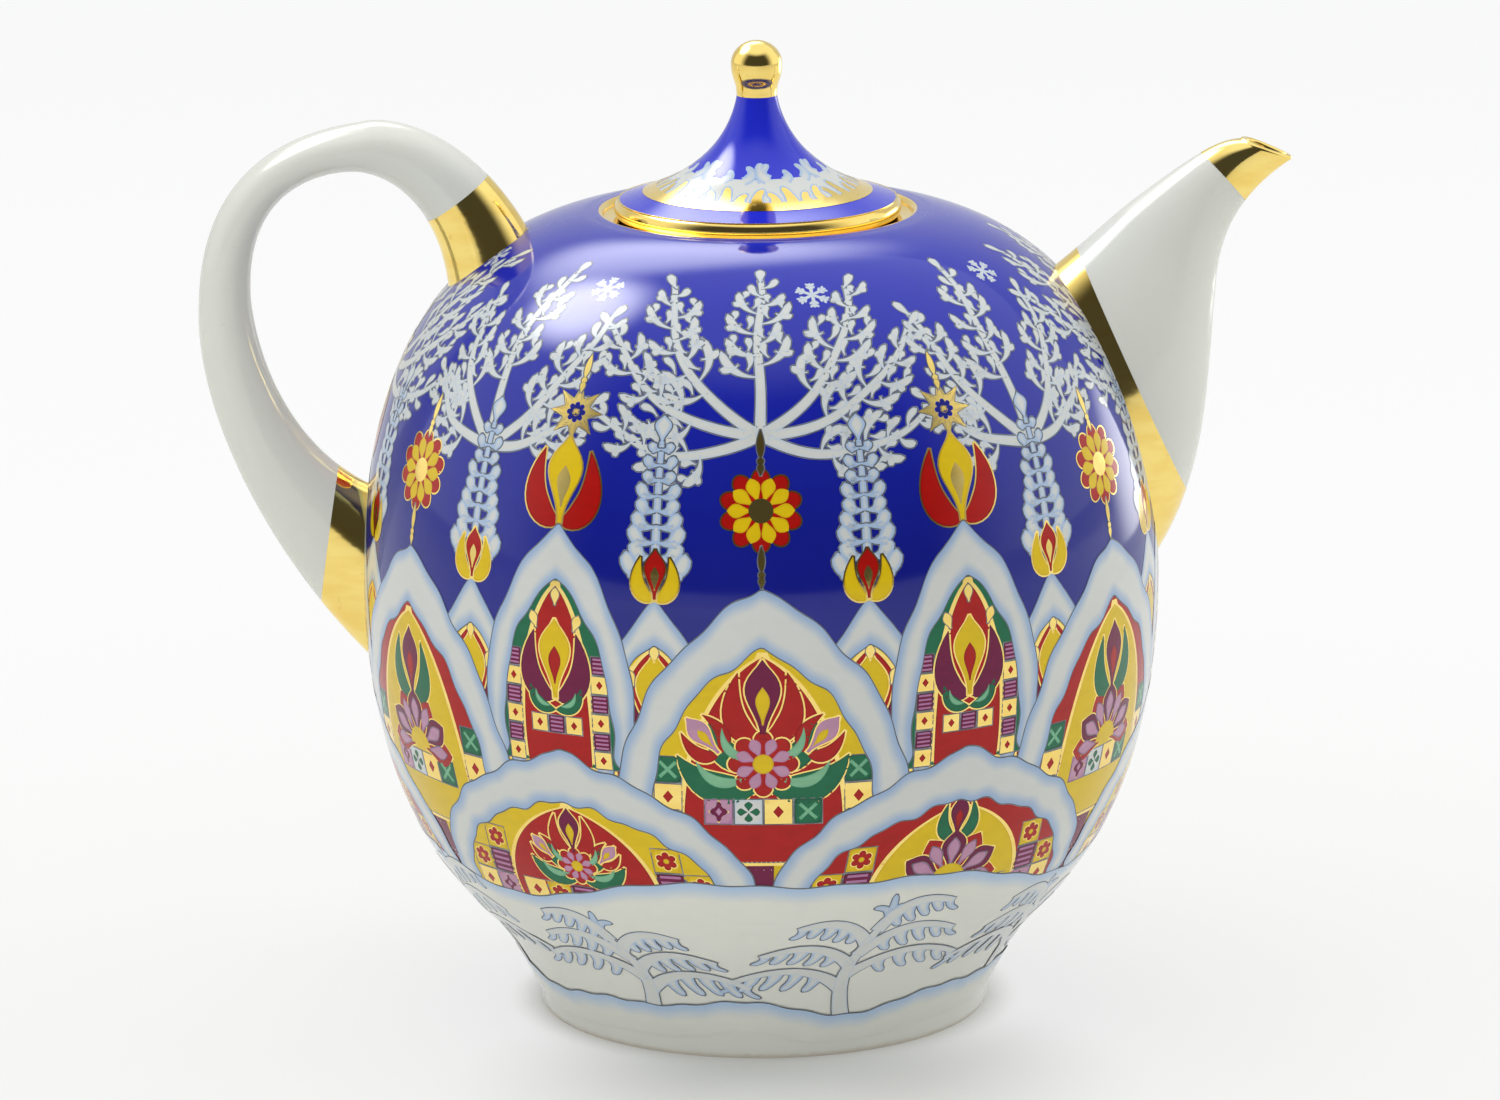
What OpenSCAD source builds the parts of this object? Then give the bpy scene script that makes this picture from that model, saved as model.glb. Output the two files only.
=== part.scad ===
// Large porcelain teapot: a round pot with a pierced strainer wall, a beaked spout,
// a loop handle, and a loose lid whose flange drops into the mouth.
// The origin is the centre of the foot ring on the table. +Z is up, +X points to
// the spout and -X to the handle. Lengths are in millimetres, angles in degrees.

/* [Pot body] */
// Outer radius of the foot ring
foot_r = 57; // [54:0.5:60]
// Height of the foot ring's upright band
foot_band = 3; // [2:0.5:4]
// Bevel under the foot ring's outer edge
foot_bevel = 0.8; // [0.4:0.1:1.2]
// Width of the flat ring that the pot stands on
foot_land = 6; // [4:0.5:8]
// Depth of the hollow under the base
foot_hollow = 6; // [4:0.5:8]
// Radius of the haunch, where the foot's flare turns into the belly
haunch_r = 82.2; // [79:0.1:85]
// Height of the haunch
haunch_z = 40; // [37:0.5:43]
// Slope of the wall at the haunch
haunch_slope = 54.5; // [51:0.5:58]
// Radius of the belly at its widest
belly_r = 100.3; // [97:0.1:104]
// Height of the widest ring of the belly
belly_z = 109.5; // [105:0.5:114]
// Height of the shoulder's crest, where the pot is highest
shoulder_z = 205; // [200:1:212]
// How squarely the shoulder turns in above the belly
shoulder_fullness = 0.876; // [0.84:0.01:0.92]
// Thickness of the pot's wall
wall = 5; // [4:0.25:6]
// Thickness of the pot's floor
floor_t = 6; // [4.5:0.25:8]

/* [Mouth and seat] */
// Radius of the edge where the shoulder drops to the lid's seat
mouth_r = 39; // [37:0.25:41]
// How far the shoulder rolls down before that edge
mouth_roll = 1.2; // [0.8:0.1:1.6]
// Depth of the lid's seat below the shoulder's crest
seat_drop = 2.8; // [2.4:0.1:3.4]
// Width of the flat ledge that carries the lid
ledge_w = 6.5; // [5.5:0.25:7.5]
// Length of the upright throat below the ledge
throat_len = 6; // [5:0.5:8]

/* [Lid] */
// Gap between the lid's rim and the edge of the mouth
rim_gap = 3.1; // [2.4:0.1:3.8]
// Height of the lid's rolled rim above its seat
rim_h = 4.7; // [4:0.1:5.5]
// Height of the lid's neck above its rim
neck_h = 26.4; // [24:0.2:30]
// Radius of the lid's neck under the knob
neck_r = 5.1; // [4.6:0.1:5.6]
// Thickness of the lid's wall
lid_wall = 3.4; // [3:0.1:3.8]
// Depth of the flange that hangs into the mouth
flange_depth = 15; // [12:0.5:18]
// Thickness of the flange
flange_t = 3; // [2.5:0.1:3.5]
// Play between the flange and the throat
flange_play = 1; // [0.6:0.1:1.4]
// Radius of the steam vent in the lid
vent_r = 1.5; // [1:0.1:2]
// Distance of the steam vent from the lid's axis
vent_at = 16; // [14:0.5:18]

/* [Knob] */
// Radius of the knob at its widest
knob_r = 6.4; // [5.8:0.1:7]
// Height of the knob's widest ring above the neck
knob_waist_h = 7.5; // [7:0.1:8.5]
// Height of the whole knob
knob_h = 13.2; // [12:0.1:15]

/* [Spout] */
// How far the lip stands out beyond the belly
spout_reach = 32.9; // [29.5:0.1:36]
// Height of the spout's back above the shoulder
spout_rise = 15.6; // [13:0.2:18]
// Length of the pouring mouth
pour_len = 14; // [12.5:0.25:16]
// Slope of the pouring mouth, down towards the lip
pour_slope = 21.5; // [18:0.5:25]
// Width of the pouring mouth over its walls
pour_w = 10; // [9:0.25:12]
// Depth of the spout from back to front at its middle
spout_depth = 32; // [30:0.5:34]
// Width of the spout at its middle
spout_w = 24; // [22:0.5:27]
// Width of the spout where it grows out of the body
spout_root_w = 47; // [42:0.5:52]
// How far the foot of the spout is raised; it meets the body near the belly's widest ring
spout_foot = 6.8; // [4:0.2:9]
// Wall of the spout at its root
spout_wall = 4; // [3.2:0.1:4.6]
// Wall of the spout at its lip
lip_wall = 2; // [1.6:0.1:2.4]

/* [Strainer] */
// Radius of each strainer hole
hole_r = 2.2; // [1.8:0.1:2.5]
// Distance between neighbouring strainer holes
hole_pitch = 8.5; // [7.5:0.25:9.5]
// Width of the pierced field behind the spout
field_w = 27; // [24:0.5:29]
// Height of the pierced field
field_h = 50; // [44:1:54]
// Upward tilt of the holes
hole_tilt = 20; // [16:1:24]

/* [Handle] */
// How far the handle's middle line stands out beyond the belly
handle_reach = 33.2; // [30:0.1:37]
// How far the handle's middle line rises above the shoulder
handle_rise = 15.5; // [13:0.5:18]
// Thickness of the handle at its crest and bow
grip_t = 13.3; // [12:0.1:15]
// Width of the handle at its crest and bow
grip_w = 17; // [15:0.25:19]
// Thickness of the handle's upper root
root_hi_t = 26.5; // [24:0.25:29]
// Width of the handle's upper root
root_hi_w = 25; // [22:0.25:28]
// Thickness of the handle's lower root inside the body's outline
root_lo_t = 54; // [50:0.5:58]
// Width of the handle's lower root
root_lo_w = 27; // [24:0.25:30]

/* [Joints] */
// Width of the slip joint between the body and what is stuck to it
slip_gap = 0.1; // [0.08:0.01:0.2]

/* [Hidden] */
$fn = 96;

COBALT = [0.20, 0.19, 0.66];
PORCELAIN = [0.90, 0.91, 0.90];
GILT = [0.93, 0.74, 0.30];

// Steps along one span of a turned outline, and rings and sides of the modelled tubes
TURN_STEPS = 16;
ROUND_STEPS = 5;
RINGS = 42;
TIP_RINGS = 22;
SIDES = 36;
CAP_RINGS = 4;
HALVINGS = 16;

// ---- curves ----
function mix(a, b, t) = a + (b - a) * t;
function unit(v) = v / norm(v);
function bez(p, t) =
    pow(1 - t, 3) * p[0] + 3 * pow(1 - t, 2) * t * p[1] + 3 * (1 - t) * t * t * p[2] + pow(t, 3) * p[3];
function bez_slope(p, t) =
    3 * pow(1 - t, 2) * (p[1] - p[0]) + 6 * (1 - t) * t * (p[2] - p[1]) + 3 * t * t * (p[3] - p[2]);
// Points along a span from parameter a to parameter b
function along(p, a = 0, b = 1, n = TURN_STEPS) = [for (i = [0:n]) bez(p, mix(a, b, i / n))];
// The same points set back from the span's right-hand side by d
function inside(p, d, a = 0, b = 1, n = TURN_STEPS) = [
    for (i = [0:n])
        let (t = mix(a, b, i / n), s = unit(bez_slope(p, t)))
            bez(p, t) + d * [-s[1], s[0]]
];
// Parameter at which column c of a span passes the value v, by halving
function param_at(p, c, v, lo = 0, hi = 1, n = HALVINGS) =
    n == 0 ? (lo + hi) / 2
    : let (m = (lo + hi) / 2, up = p[3][c] > p[0][c])
        ((bez(p, m)[c] < v) == up) ? param_at(p, c, v, m, hi, n - 1) : param_at(p, c, v, lo, m, n - 1);
// Quarter-round corner from a to b that bulges towards c
function corner(a, c, b, n = ROUND_STEPS) = [
    for (i = [1:n - 1])
        let (t = i / n) pow(1 - t, 2) * a + 2 * (1 - t) * t * c + t * t * b
];

// ---- the pot's outline ----
foot_top = foot_bevel + foot_band;
haunch_dir = [cos(haunch_slope), sin(haunch_slope)];
haunch = [haunch_r, haunch_z];
flare_chord = norm(haunch - [foot_r, foot_top]);
belly_chord = norm([belly_r, belly_z] - haunch);
flare_span = [
    [foot_r, foot_top],
    [mix(foot_r, haunch_r, 0.506), mix(foot_top, haunch_z, 0.747)],
    haunch - 0.5 * flare_chord * haunch_dir,
    haunch
];
belly_span = [
    haunch,
    haunch + 0.36 * belly_chord * haunch_dir,
    [belly_r, mix(belly_z, haunch_z, 0.26)],
    [belly_r, belly_z]
];
crown_r = 0.815 * mouth_r;
shoulder_span = [
    [belly_r, belly_z],
    [belly_r, mix(belly_z, shoulder_z, shoulder_fullness)],
    [mix(crown_r, belly_r, 0.323), shoulder_z],
    [crown_r, shoulder_z]
];
// Radius of the pot's outer face at height z
function body_r(z) =
    z <= haunch_z ? bez(flare_span, param_at(flare_span, 1, max(z, foot_top)))[0]
    : z <= belly_z ? bez(belly_span, param_at(belly_span, 1, z))[0]
    : bez(shoulder_span, param_at(shoulder_span, 1, min(z, shoulder_z)))[0];
// The point moved straight out or in, onto the slip joint around the pot
function on_body(p) =
    let (k = (body_r(p[2]) + slip_gap) / norm([p[0], p[1]])) [p[0] * k, p[1] * k, p[2]];
function outside_body(p) = norm([p[0], p[1]]) > body_r(p[2]) + slip_gap;

// ---- the mouth and the lid's seat ----
// Run-in of the mouth's steep side on the ledge, its bulge, and the chamfer of the throat's edges
ledge_step = 1;
mouth_bulge = 0.5;
throat_chamfer = 0.6;
// Width of the shoulder's roll into the mouth, and of its thickened underside
roll_w = 4;
collar_w = 12;
// Rise and width of the round between the wall and the floor inside
floor_rise = 12;
floor_turn = 16;
seat_z = shoulder_z - seat_drop;
mouth_z = shoulder_z - mouth_roll;
throat_r = mouth_r - ledge_w - ledge_step;
throat_bottom = seat_z - throat_len;
roll_start = param_at(shoulder_span, 0, mouth_r + roll_w);
roll_point = bez(shoulder_span, roll_start);
collar_end = param_at(shoulder_span, 0, mouth_r + collar_w);
floor_z = foot_hollow + floor_t;
floor_start = param_at(flare_span, 1, floor_z + floor_rise);
floor_edge = inside(flare_span, wall, floor_start, 1)[0];
land_r = foot_r - foot_bevel - foot_land;

module pot_shell() {
    outer = concat(
        [[0, foot_hollow], [land_r - foot_hollow, foot_hollow], [land_r, 0]],
        [[foot_r - foot_bevel, 0], [foot_r, foot_bevel]],
        along(flare_span),
        along(belly_span),
        along(shoulder_span, 0, roll_start)
    );
    side = [mouth_r - mouth_bulge, mix(mouth_z, seat_z, 0.5)];
    ledge_edge = [mouth_r - ledge_step, seat_z];
    mouth = concat(
        corner(roll_point, [mouth_r + 0.4 * roll_w, roll_point[1]], [mouth_r, mouth_z]),
        [[mouth_r, mouth_z], side],
        corner(side, [side[0], seat_z], ledge_edge),
        [ledge_edge, [throat_r + throat_chamfer, seat_z], [throat_r, seat_z - throat_chamfer]],
        [[throat_r, throat_bottom], [throat_r + throat_chamfer, throat_bottom - throat_chamfer]]
    );
    shoulder_in = inside(shoulder_span, wall, collar_end, 0);
    belly_in = inside(belly_span, wall, 1, 0);
    flare_in = inside(flare_span, wall, 1, floor_start);
    collar_start = [throat_r + collar_w / 4, throat_bottom - throat_chamfer];
    floor_end = [floor_edge[0] - floor_turn, floor_z];
    cavity = concat(
        corner(collar_start, [mouth_r + collar_w / 2, collar_start[1]], shoulder_in[0]),
        shoulder_in,
        belly_in,
        flare_in,
        corner(floor_edge, [floor_edge[0] - floor_turn / 4, floor_z], floor_end),
        [floor_end, [0, floor_z]]
    );
    rotate_extrude() polygon(concat(outer, mouth, cavity));
}

// ---- the spout ----
// Each row of the back rail is [x, z, half width, pinch towards the lip];
// each row of the front rail is [x, z]. The rails start inside the body.
spout_tip = [belly_r + spout_reach, shoulder_z + spout_rise - pour_len * sin(pour_slope)];
spout_heel = spout_tip + pour_len * [-cos(pour_slope), sin(pour_slope)];
// Where the rails start inside the body, and where the back rail passes the shoulder
back_inset = [36, 24];
back_pass = [8.5, 1];
front_inset = [10.5, 14];
// Tilt of the spout's middle section
mid_tilt = 44.5;
back_start = [belly_r - back_inset[0], shoulder_z - back_inset[1]];
back_mid = [belly_r - back_pass[0], shoulder_z - back_pass[1]];
front_start = [belly_r - front_inset[0], belly_z - front_inset[1] + spout_foot];
front_mid = back_mid + spout_depth * [sin(mid_tilt), -cos(mid_tilt)];
mid_half = spout_w / 2;
tip_half = pour_w / 2;
back_rail = [
    [
        [back_start[0], back_start[1], spout_root_w / 2, 0],
        [mix(back_start[0], back_mid[0], 0.5), mix(back_start[1], back_mid[1], 0.45), spout_root_w * 0.47, 0],
        [mix(back_start[0], back_mid[0], 0.91), mix(back_start[1], back_mid[1], 0.92), mid_half * 1.3, 0],
        [back_mid[0], back_mid[1], mid_half, 0]
    ],
    [
        [back_mid[0], back_mid[1], mid_half, 0],
        [
            mix(back_mid[0], spout_heel[0], 0.56), mix(back_mid[1], spout_heel[1], 0.73),
            mix(mid_half, tip_half, 0.45), 0.05
        ],
        [mix(back_mid[0], spout_heel[0], 0.8), spout_heel[1], mix(mid_half, tip_half, 0.85), 0.2],
        [spout_heel[0], spout_heel[1], tip_half, 0.3]
    ]
];
front_rail = [
    [
        front_start,
        [front_start[0] + 0.95 * (front_mid[0] - front_start[0]), mix(front_start[1], front_mid[1], 0.32)],
        [front_mid[0] - 0.1 * (front_mid[0] - front_start[0]), mix(front_mid[1], front_start[1], 0.36)],
        front_mid
    ],
    [
        front_mid,
        [front_mid[0] + 0.03 * (spout_tip[0] - front_mid[0]), mix(front_mid[1], spout_tip[1], 0.19)],
        [mix(spout_tip[0], front_mid[0], 0.99), mix(spout_tip[1], front_mid[1], 0.352)],
        spout_tip
    ]
];
// Point of the spout's skin at length s (0 inside the body, 2 at the lip) and angle a,
// set in from the outer skin by depth d
function spout_skin(s, a, d) =
    let (
        i = min(floor(s), 1),
        hi = bez(back_rail[i], s - i),
        lo = bez(front_rail[i], s - i),
        across = ([hi[0], hi[1]] - lo) / 2,
        mid = ([hi[0], hi[1]] + lo) / 2,
        k = (1 - d / norm(across)) * cos(a),
        y = (hi[2] - d) * sin(a) * (1 + hi[3] * cos(a))
    )
    [mid[0] + across[0] * k, y, mid[1] + across[1] * k];
function spout_depth_at(s, inner) = inner * mix(spout_wall, lip_wall, s / 2);
// Length at which the skin leaves the body at angle a, by halving
function spout_seat(a, inner, lo = 0, hi = 1.2, n = HALVINGS) =
    let (m = (lo + hi) / 2)
        n == 0 ? m
        : outside_body(spout_skin(m, a, spout_depth_at(m, inner))) ? spout_seat(a, inner, lo, m, n - 1)
        : spout_seat(a, inner, m, hi, n - 1);
function spout_ring(f, inner) = [
    for (j = [0:SIDES - 1])
        let (a = 360 * j / SIDES, s = mix(spout_seat(a, inner), 2, f))
            spout_skin(s, a, spout_depth_at(s, inner))
];
pour_normal = [sin(pour_slope), 0, cos(pour_slope)];
// The lip's rounded top, half way between the outer and the inner skin
lip_ring = [
    for (j = [0:SIDES - 1])
        spout_skin(2, 360 * j / SIDES, lip_wall / 2) + 0.45 * lip_wall * pour_normal
];

// Closed tube through rings of equal length; the last ring joins the first
module ring_torus(rings) {
    n = len(rings);
    m = len(rings[0]);
    points = [for (r = rings) for (p = r) p];
    faces = [
        for (i = [0:n - 1]) for (j = [0:m - 1])
            let (i2 = (i + 1) % n, j2 = (j + 1) % m)
                each [[i * m + j, i * m + j2, i2 * m + j2], [i * m + j, i2 * m + j2, i2 * m + j]]
    ];
    polyhedron(points = points, faces = faces, convexity = 6);
}

// ---- the strainer ----
strainer_z = mix(belly_z, shoulder_z, 0.46);
module strainer_holes() {
    rows = floor(field_h / hole_pitch / 2);
    row_gap = hole_pitch * sin(60);
    for (i = [-rows:rows]) for (j = [-3:3]) {
        y = hole_pitch * (j + (i % 2 == 0 ? 0 : 0.5));
        dz = i * row_gap;
        inside_field = pow(2 * y / field_w, 2) + pow(2 * dz / field_h, 2) <= 1;
        if (inside_field)
            translate([body_r(strainer_z + dz) - wall / 2, y, strainer_z + dz])
                rotate([0, 90 - hole_tilt, 0])
                    cylinder(r = hole_r, h = 4 * wall, center = true, $fn = 24);
    }
}

// ---- the handle ----
// Rows are [x, z, thickness, width] along the middle line, from inside the body
// over the crest, round the bow and back into the body.
upper_inset = [36, 22];
lower_inset = [19.5, 2.5];
crest_inset = 3;
handle_hi = [-(belly_r - upper_inset[0]), shoulder_z - upper_inset[1]];
handle_lo = [-(belly_r - lower_inset[0]), belly_z - lower_inset[1]];
crest = [-(belly_r - crest_inset), shoulder_z + handle_rise];
bow = [-(belly_r + handle_reach), mix(handle_hi[1], crest[1], -0.04)];
handle_rail = [
    [
        [handle_hi[0], handle_hi[1], root_hi_t, root_hi_w],
        [
            mix(handle_hi[0], crest[0], 0.18), mix(handle_hi[1], crest[1], 0.76),
            mix(grip_t, root_hi_t, 0.32), grip_w
        ],
        [mix(crest[0], handle_hi[0], 0.29), crest[1], mix(grip_t, root_hi_t, 0.2), grip_w],
        [crest[0], crest[1], grip_t, grip_w]
    ],
    [
        [crest[0], crest[1], grip_t, grip_w],
        [mix(crest[0], bow[0], 0.167), crest[1], 0.75 * grip_t, grip_w],
        [bow[0], mix(bow[1], crest[1], 0.96), 0.75 * grip_t, grip_w],
        [bow[0], bow[1], grip_t, grip_w]
    ],
    [
        [bow[0], bow[1], grip_t, grip_w],
        [bow[0], mix(bow[1], handle_lo[1], 0.356), 1.35 * grip_t, grip_w],
        [mix(handle_lo[0], bow[0], 0.657), mix(handle_lo[1], bow[1], 0.168), 1.12 * grip_t, grip_w],
        [handle_lo[0], handle_lo[1], root_lo_t, root_lo_w]
    ]
];
function handle_skin(s, a) =
    let (
        i = min(floor(s), 2),
        c = bez(handle_rail[i], s - i),
        v = bez_slope(handle_rail[i], s - i),
        d = unit([v[0], v[1]]),
        h = c[2] / 2 * cos(a)
    )
    [c[0] + d[1] * h, c[3] / 2 * sin(a), c[1] - d[0] * h];
// Length at which the handle's skin crosses the body between lo (inside) and hi (outside)
function handle_seat(a, lo, hi, n = HALVINGS) =
    let (m = (lo + hi) / 2)
        n == 0 ? m
        : outside_body(handle_skin(m, a)) ? handle_seat(a, lo, m, n - 1)
        : handle_seat(a, m, hi, n - 1);
function handle_ring(f) = [
    for (j = [0:SIDES - 1])
        let (a = -360 * j / SIDES)
            handle_skin(mix(handle_seat(a, 0, 0.7), handle_seat(a, 3, 2.2), f), a)
];
function ring_middle(ring) = [for (c = [0:2]) [for (p = ring) p[c]] * [for (p = ring) 1 / len(ring)]];
// A ring's shrunken copy that lies on the body
function cap_ring(ring, f) =
    let (o = ring_middle(ring)) [for (p = ring) on_body(mix(o, p, f))];

// Closed rod through rings, its two ends hollowed to the body's own curve
module seated_rod(rings) {
    n = len(rings);
    m = len(rings[0]);
    head = [for (k = [1:CAP_RINGS - 1]) cap_ring(rings[0], k / CAP_RINGS)];
    tail = [for (k = [CAP_RINGS - 1:-1:1]) cap_ring(rings[n - 1], k / CAP_RINGS)];
    all_rings = concat(head, rings, tail);
    total = len(all_rings);
    points = concat(
        [for (r = all_rings) for (p = r) p],
        [on_body(ring_middle(rings[0])), on_body(ring_middle(rings[n - 1]))]
    );
    faces = concat(
        [
            for (i = [0:total - 2]) for (j = [0:m - 1])
                let (j2 = (j + 1) % m, k = (i + 1) * m)
                    each [[i * m + j, i * m + j2, k + j2], [i * m + j, k + j2, k + j]]
        ],
        [for (j = [0:m - 1]) [total * m, (j + 1) % m, j]],
        [for (j = [0:m - 1]) [total * m + 1, (total - 1) * m + j, (total - 1) * m + (j + 1) % m]]
    );
    polyhedron(points = points, faces = faces, convexity = 6);
}

// ---- the lid ----
rim_r = mouth_r - rim_gap;
rim_top = seat_z + rim_h;
// Rounding of the rolled rim and of the flange's lower edges
rim_bevel = 1.1;
flange_round = 1;
neck_top = rim_top + neck_h;
flange_r = throat_r - flange_play;
flange_in_r = flange_r - flange_t;
flange_end = seat_z - flange_depth;
lid_span = [
    [neck_r, neck_top],
    [neck_r + 0.107 * (rim_r - neck_r), mix(neck_top, rim_top, 0.737)],
    [mix(rim_r - rim_bevel, neck_r, 0.2), mix(rim_top, neck_top, 0.075)],
    [rim_r - rim_bevel, rim_top]
];
// The hollow under the lid ends below the neck, and starts at the flange's inner face
hollow_set = 2.6;
hollow_run = 1.2;
ceiling_start = param_at(lid_span, 0, neck_r + hollow_set);
ceiling_end = param_at(lid_span, 0, flange_in_r + hollow_run);

module lid_turning() {
    ceiling = inside(lid_span, -lid_wall, ceiling_start, ceiling_end);
    rim_low = [rim_r - rim_bevel, seat_z];
    flange_side = [flange_r, flange_end + flange_round];
    flange_foot = [flange_r - flange_round, flange_end];
    profile = concat(
        [[0, neck_top]],
        along(lid_span),
        corner([rim_r - rim_bevel, rim_top], [rim_r, rim_top], [rim_r, rim_top - rim_bevel]),
        [[rim_r, rim_top - rim_bevel], [rim_r, seat_z + rim_bevel]],
        corner([rim_r, seat_z + rim_bevel], [rim_r, seat_z], rim_low),
        [rim_low, [flange_r, seat_z], flange_side],
        corner(flange_side, [flange_r, flange_end], flange_foot),
        [flange_foot, [flange_in_r + flange_round, flange_end]],
        [[flange_in_r, flange_end + flange_round], [flange_in_r, seat_z - flange_round]],
        [for (i = [len(ceiling) - 1:-1:0]) ceiling[i]],
        [[0, ceiling[0][1]]]
    );
    rotate_extrude() polygon(profile);
}

// ---- sub-parts ----
module pot_body() {
    color(COBALT)
        difference() {
            pot_shell();
            strainer_holes();
        }
}

module spout() {
    rings = concat(
        [for (i = [0:RINGS / 2]) spout_ring(2 * i / RINGS, 0)],
        [lip_ring],
        [for (i = [TIP_RINGS:-1:0]) spout_ring(i / TIP_RINGS, 1)]
    );
    color(PORCELAIN) ring_torus(rings);
}

module handle() {
    color(PORCELAIN) seated_rod([for (i = [0:RINGS]) handle_ring(i / RINGS)]);
}

module lid_cover() {
    color(COBALT)
        difference() {
            lid_turning();
            translate([0, vent_at, rim_top])
                cylinder(r = vent_r, h = 3 * neck_h, center = true, $fn = 24);
        }
}

module lid_knob() {
    swell = [
        [neck_r, neck_top],
        [neck_r, neck_top + 0.4 * knob_waist_h],
        [knob_r, neck_top + 0.45 * knob_waist_h],
        [knob_r, neck_top + knob_waist_h]
    ];
    crown = [
        [knob_r, neck_top + knob_waist_h],
        [knob_r, mix(neck_top + knob_waist_h, neck_top + knob_h, 0.55)],
        [0.55 * knob_r, neck_top + knob_h],
        [0, neck_top + knob_h]
    ];
    color(GILT)
        rotate_extrude() polygon(concat([[0, neck_top]], along(swell, 0, 1, 8), along(crown, 0, 1, 8)));
}

pot_body();
spout();
handle();
lid_cover();
lid_knob();
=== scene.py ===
"""A large painted porcelain teapot, dressed over its solid model.

The pot, its spout, handle, lid and knob are smooth skins that lie just inside the solid
model's faces. The painting lies on them as thin layers of enamel and gold: each layer is
a sheet of painted shapes, wrapped on the skin below it.
"""

import logging
import math
from dataclasses import dataclass, field, replace
from enum import Enum
from typing import Callable

import bpy
import numpy as np
from mathutils import Euler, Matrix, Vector


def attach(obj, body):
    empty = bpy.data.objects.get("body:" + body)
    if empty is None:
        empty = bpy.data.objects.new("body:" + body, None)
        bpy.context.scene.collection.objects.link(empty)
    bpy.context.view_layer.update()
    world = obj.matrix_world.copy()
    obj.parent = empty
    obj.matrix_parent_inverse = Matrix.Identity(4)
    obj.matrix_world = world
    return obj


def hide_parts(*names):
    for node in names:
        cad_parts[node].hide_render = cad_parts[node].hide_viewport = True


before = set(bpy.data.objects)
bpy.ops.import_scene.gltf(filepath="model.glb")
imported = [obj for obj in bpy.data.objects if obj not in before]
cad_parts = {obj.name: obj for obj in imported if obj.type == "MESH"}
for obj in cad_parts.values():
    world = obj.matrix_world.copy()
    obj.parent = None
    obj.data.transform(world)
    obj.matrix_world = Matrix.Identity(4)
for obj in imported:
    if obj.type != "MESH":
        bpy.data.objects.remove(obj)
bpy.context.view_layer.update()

LOG = logging.getLogger("teapot")
MM = 0.001
FULL = 2 * math.pi
Colour = tuple[float, float, float]
Place = tuple[float, float, float]
Spot = tuple[float, float]
Array = np.ndarray
Piece = bpy.types.Object
Wrap = Callable[[Array, Array, float], tuple[Array, Array]]


def tint(red: float, green: float, blue: float) -> Colour:
    """A linear colour from display values of 0 to 255.

    Args:
        red: display red.
        green: display green.
        blue: display blue.

    Returns:
        The linear colour that shaders expect.
    """
    values = (v / 255 for v in (red, green, blue))
    return tuple(v / 12.92 if v <= 0.04045 else ((v + 0.055) / 1.055) ** 2.4 for v in values)


def dimmed(colour: Colour, by: float) -> Colour:
    """The colour times a factor."""
    return tuple(by * v for v in colour)


# -------- shader kit


class Sum:
    """A shader socket that takes part in written sums; each sum adds Math nodes."""

    def __init__(self, mixer: "Mixer", socket: bpy.types.NodeSocket) -> None:
        """Wraps one output socket of the mixer's material."""
        self.mixer = mixer
        self.socket = socket

    def _math(self, operation: str, first: object, second: object = 0.0) -> "Sum":
        """One Math node on two values or sums."""
        return self.mixer.node("ShaderNodeMath", {"operation": operation}, {0: first, 1: second})

    def __add__(self, other: object) -> "Sum":
        """This plus other."""
        return self._math("ADD", self, other)

    __radd__ = __add__

    def __sub__(self, other: object) -> "Sum":
        """This minus other."""
        return self._math("SUBTRACT", self, other)

    def __rsub__(self, other: object) -> "Sum":
        """Other minus this."""
        return self._math("SUBTRACT", other, self)

    def __mul__(self, other: object) -> "Sum":
        """This times other."""
        return self._math("MULTIPLY", self, other)

    __rmul__ = __mul__

    def power(self, exponent: float) -> "Sum":
        """This raised to an exponent."""
        return self._math("POWER", self, exponent)

    def rise(self, low: float, high: float) -> "Sum":
        """A smooth step from 0 at low to 1 at high.

        Args:
            low: value where the step starts.
            high: value where it ends; below low, the step falls.

        Returns:
            The stepped value.
        """
        settings = {"interpolation_type": "SMOOTHSTEP"}
        if low > high:
            return 1 - self.rise(high, low)
        return self.mixer.node("ShaderNodeMapRange", settings, {0: self, 1: low, 2: high})


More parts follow.
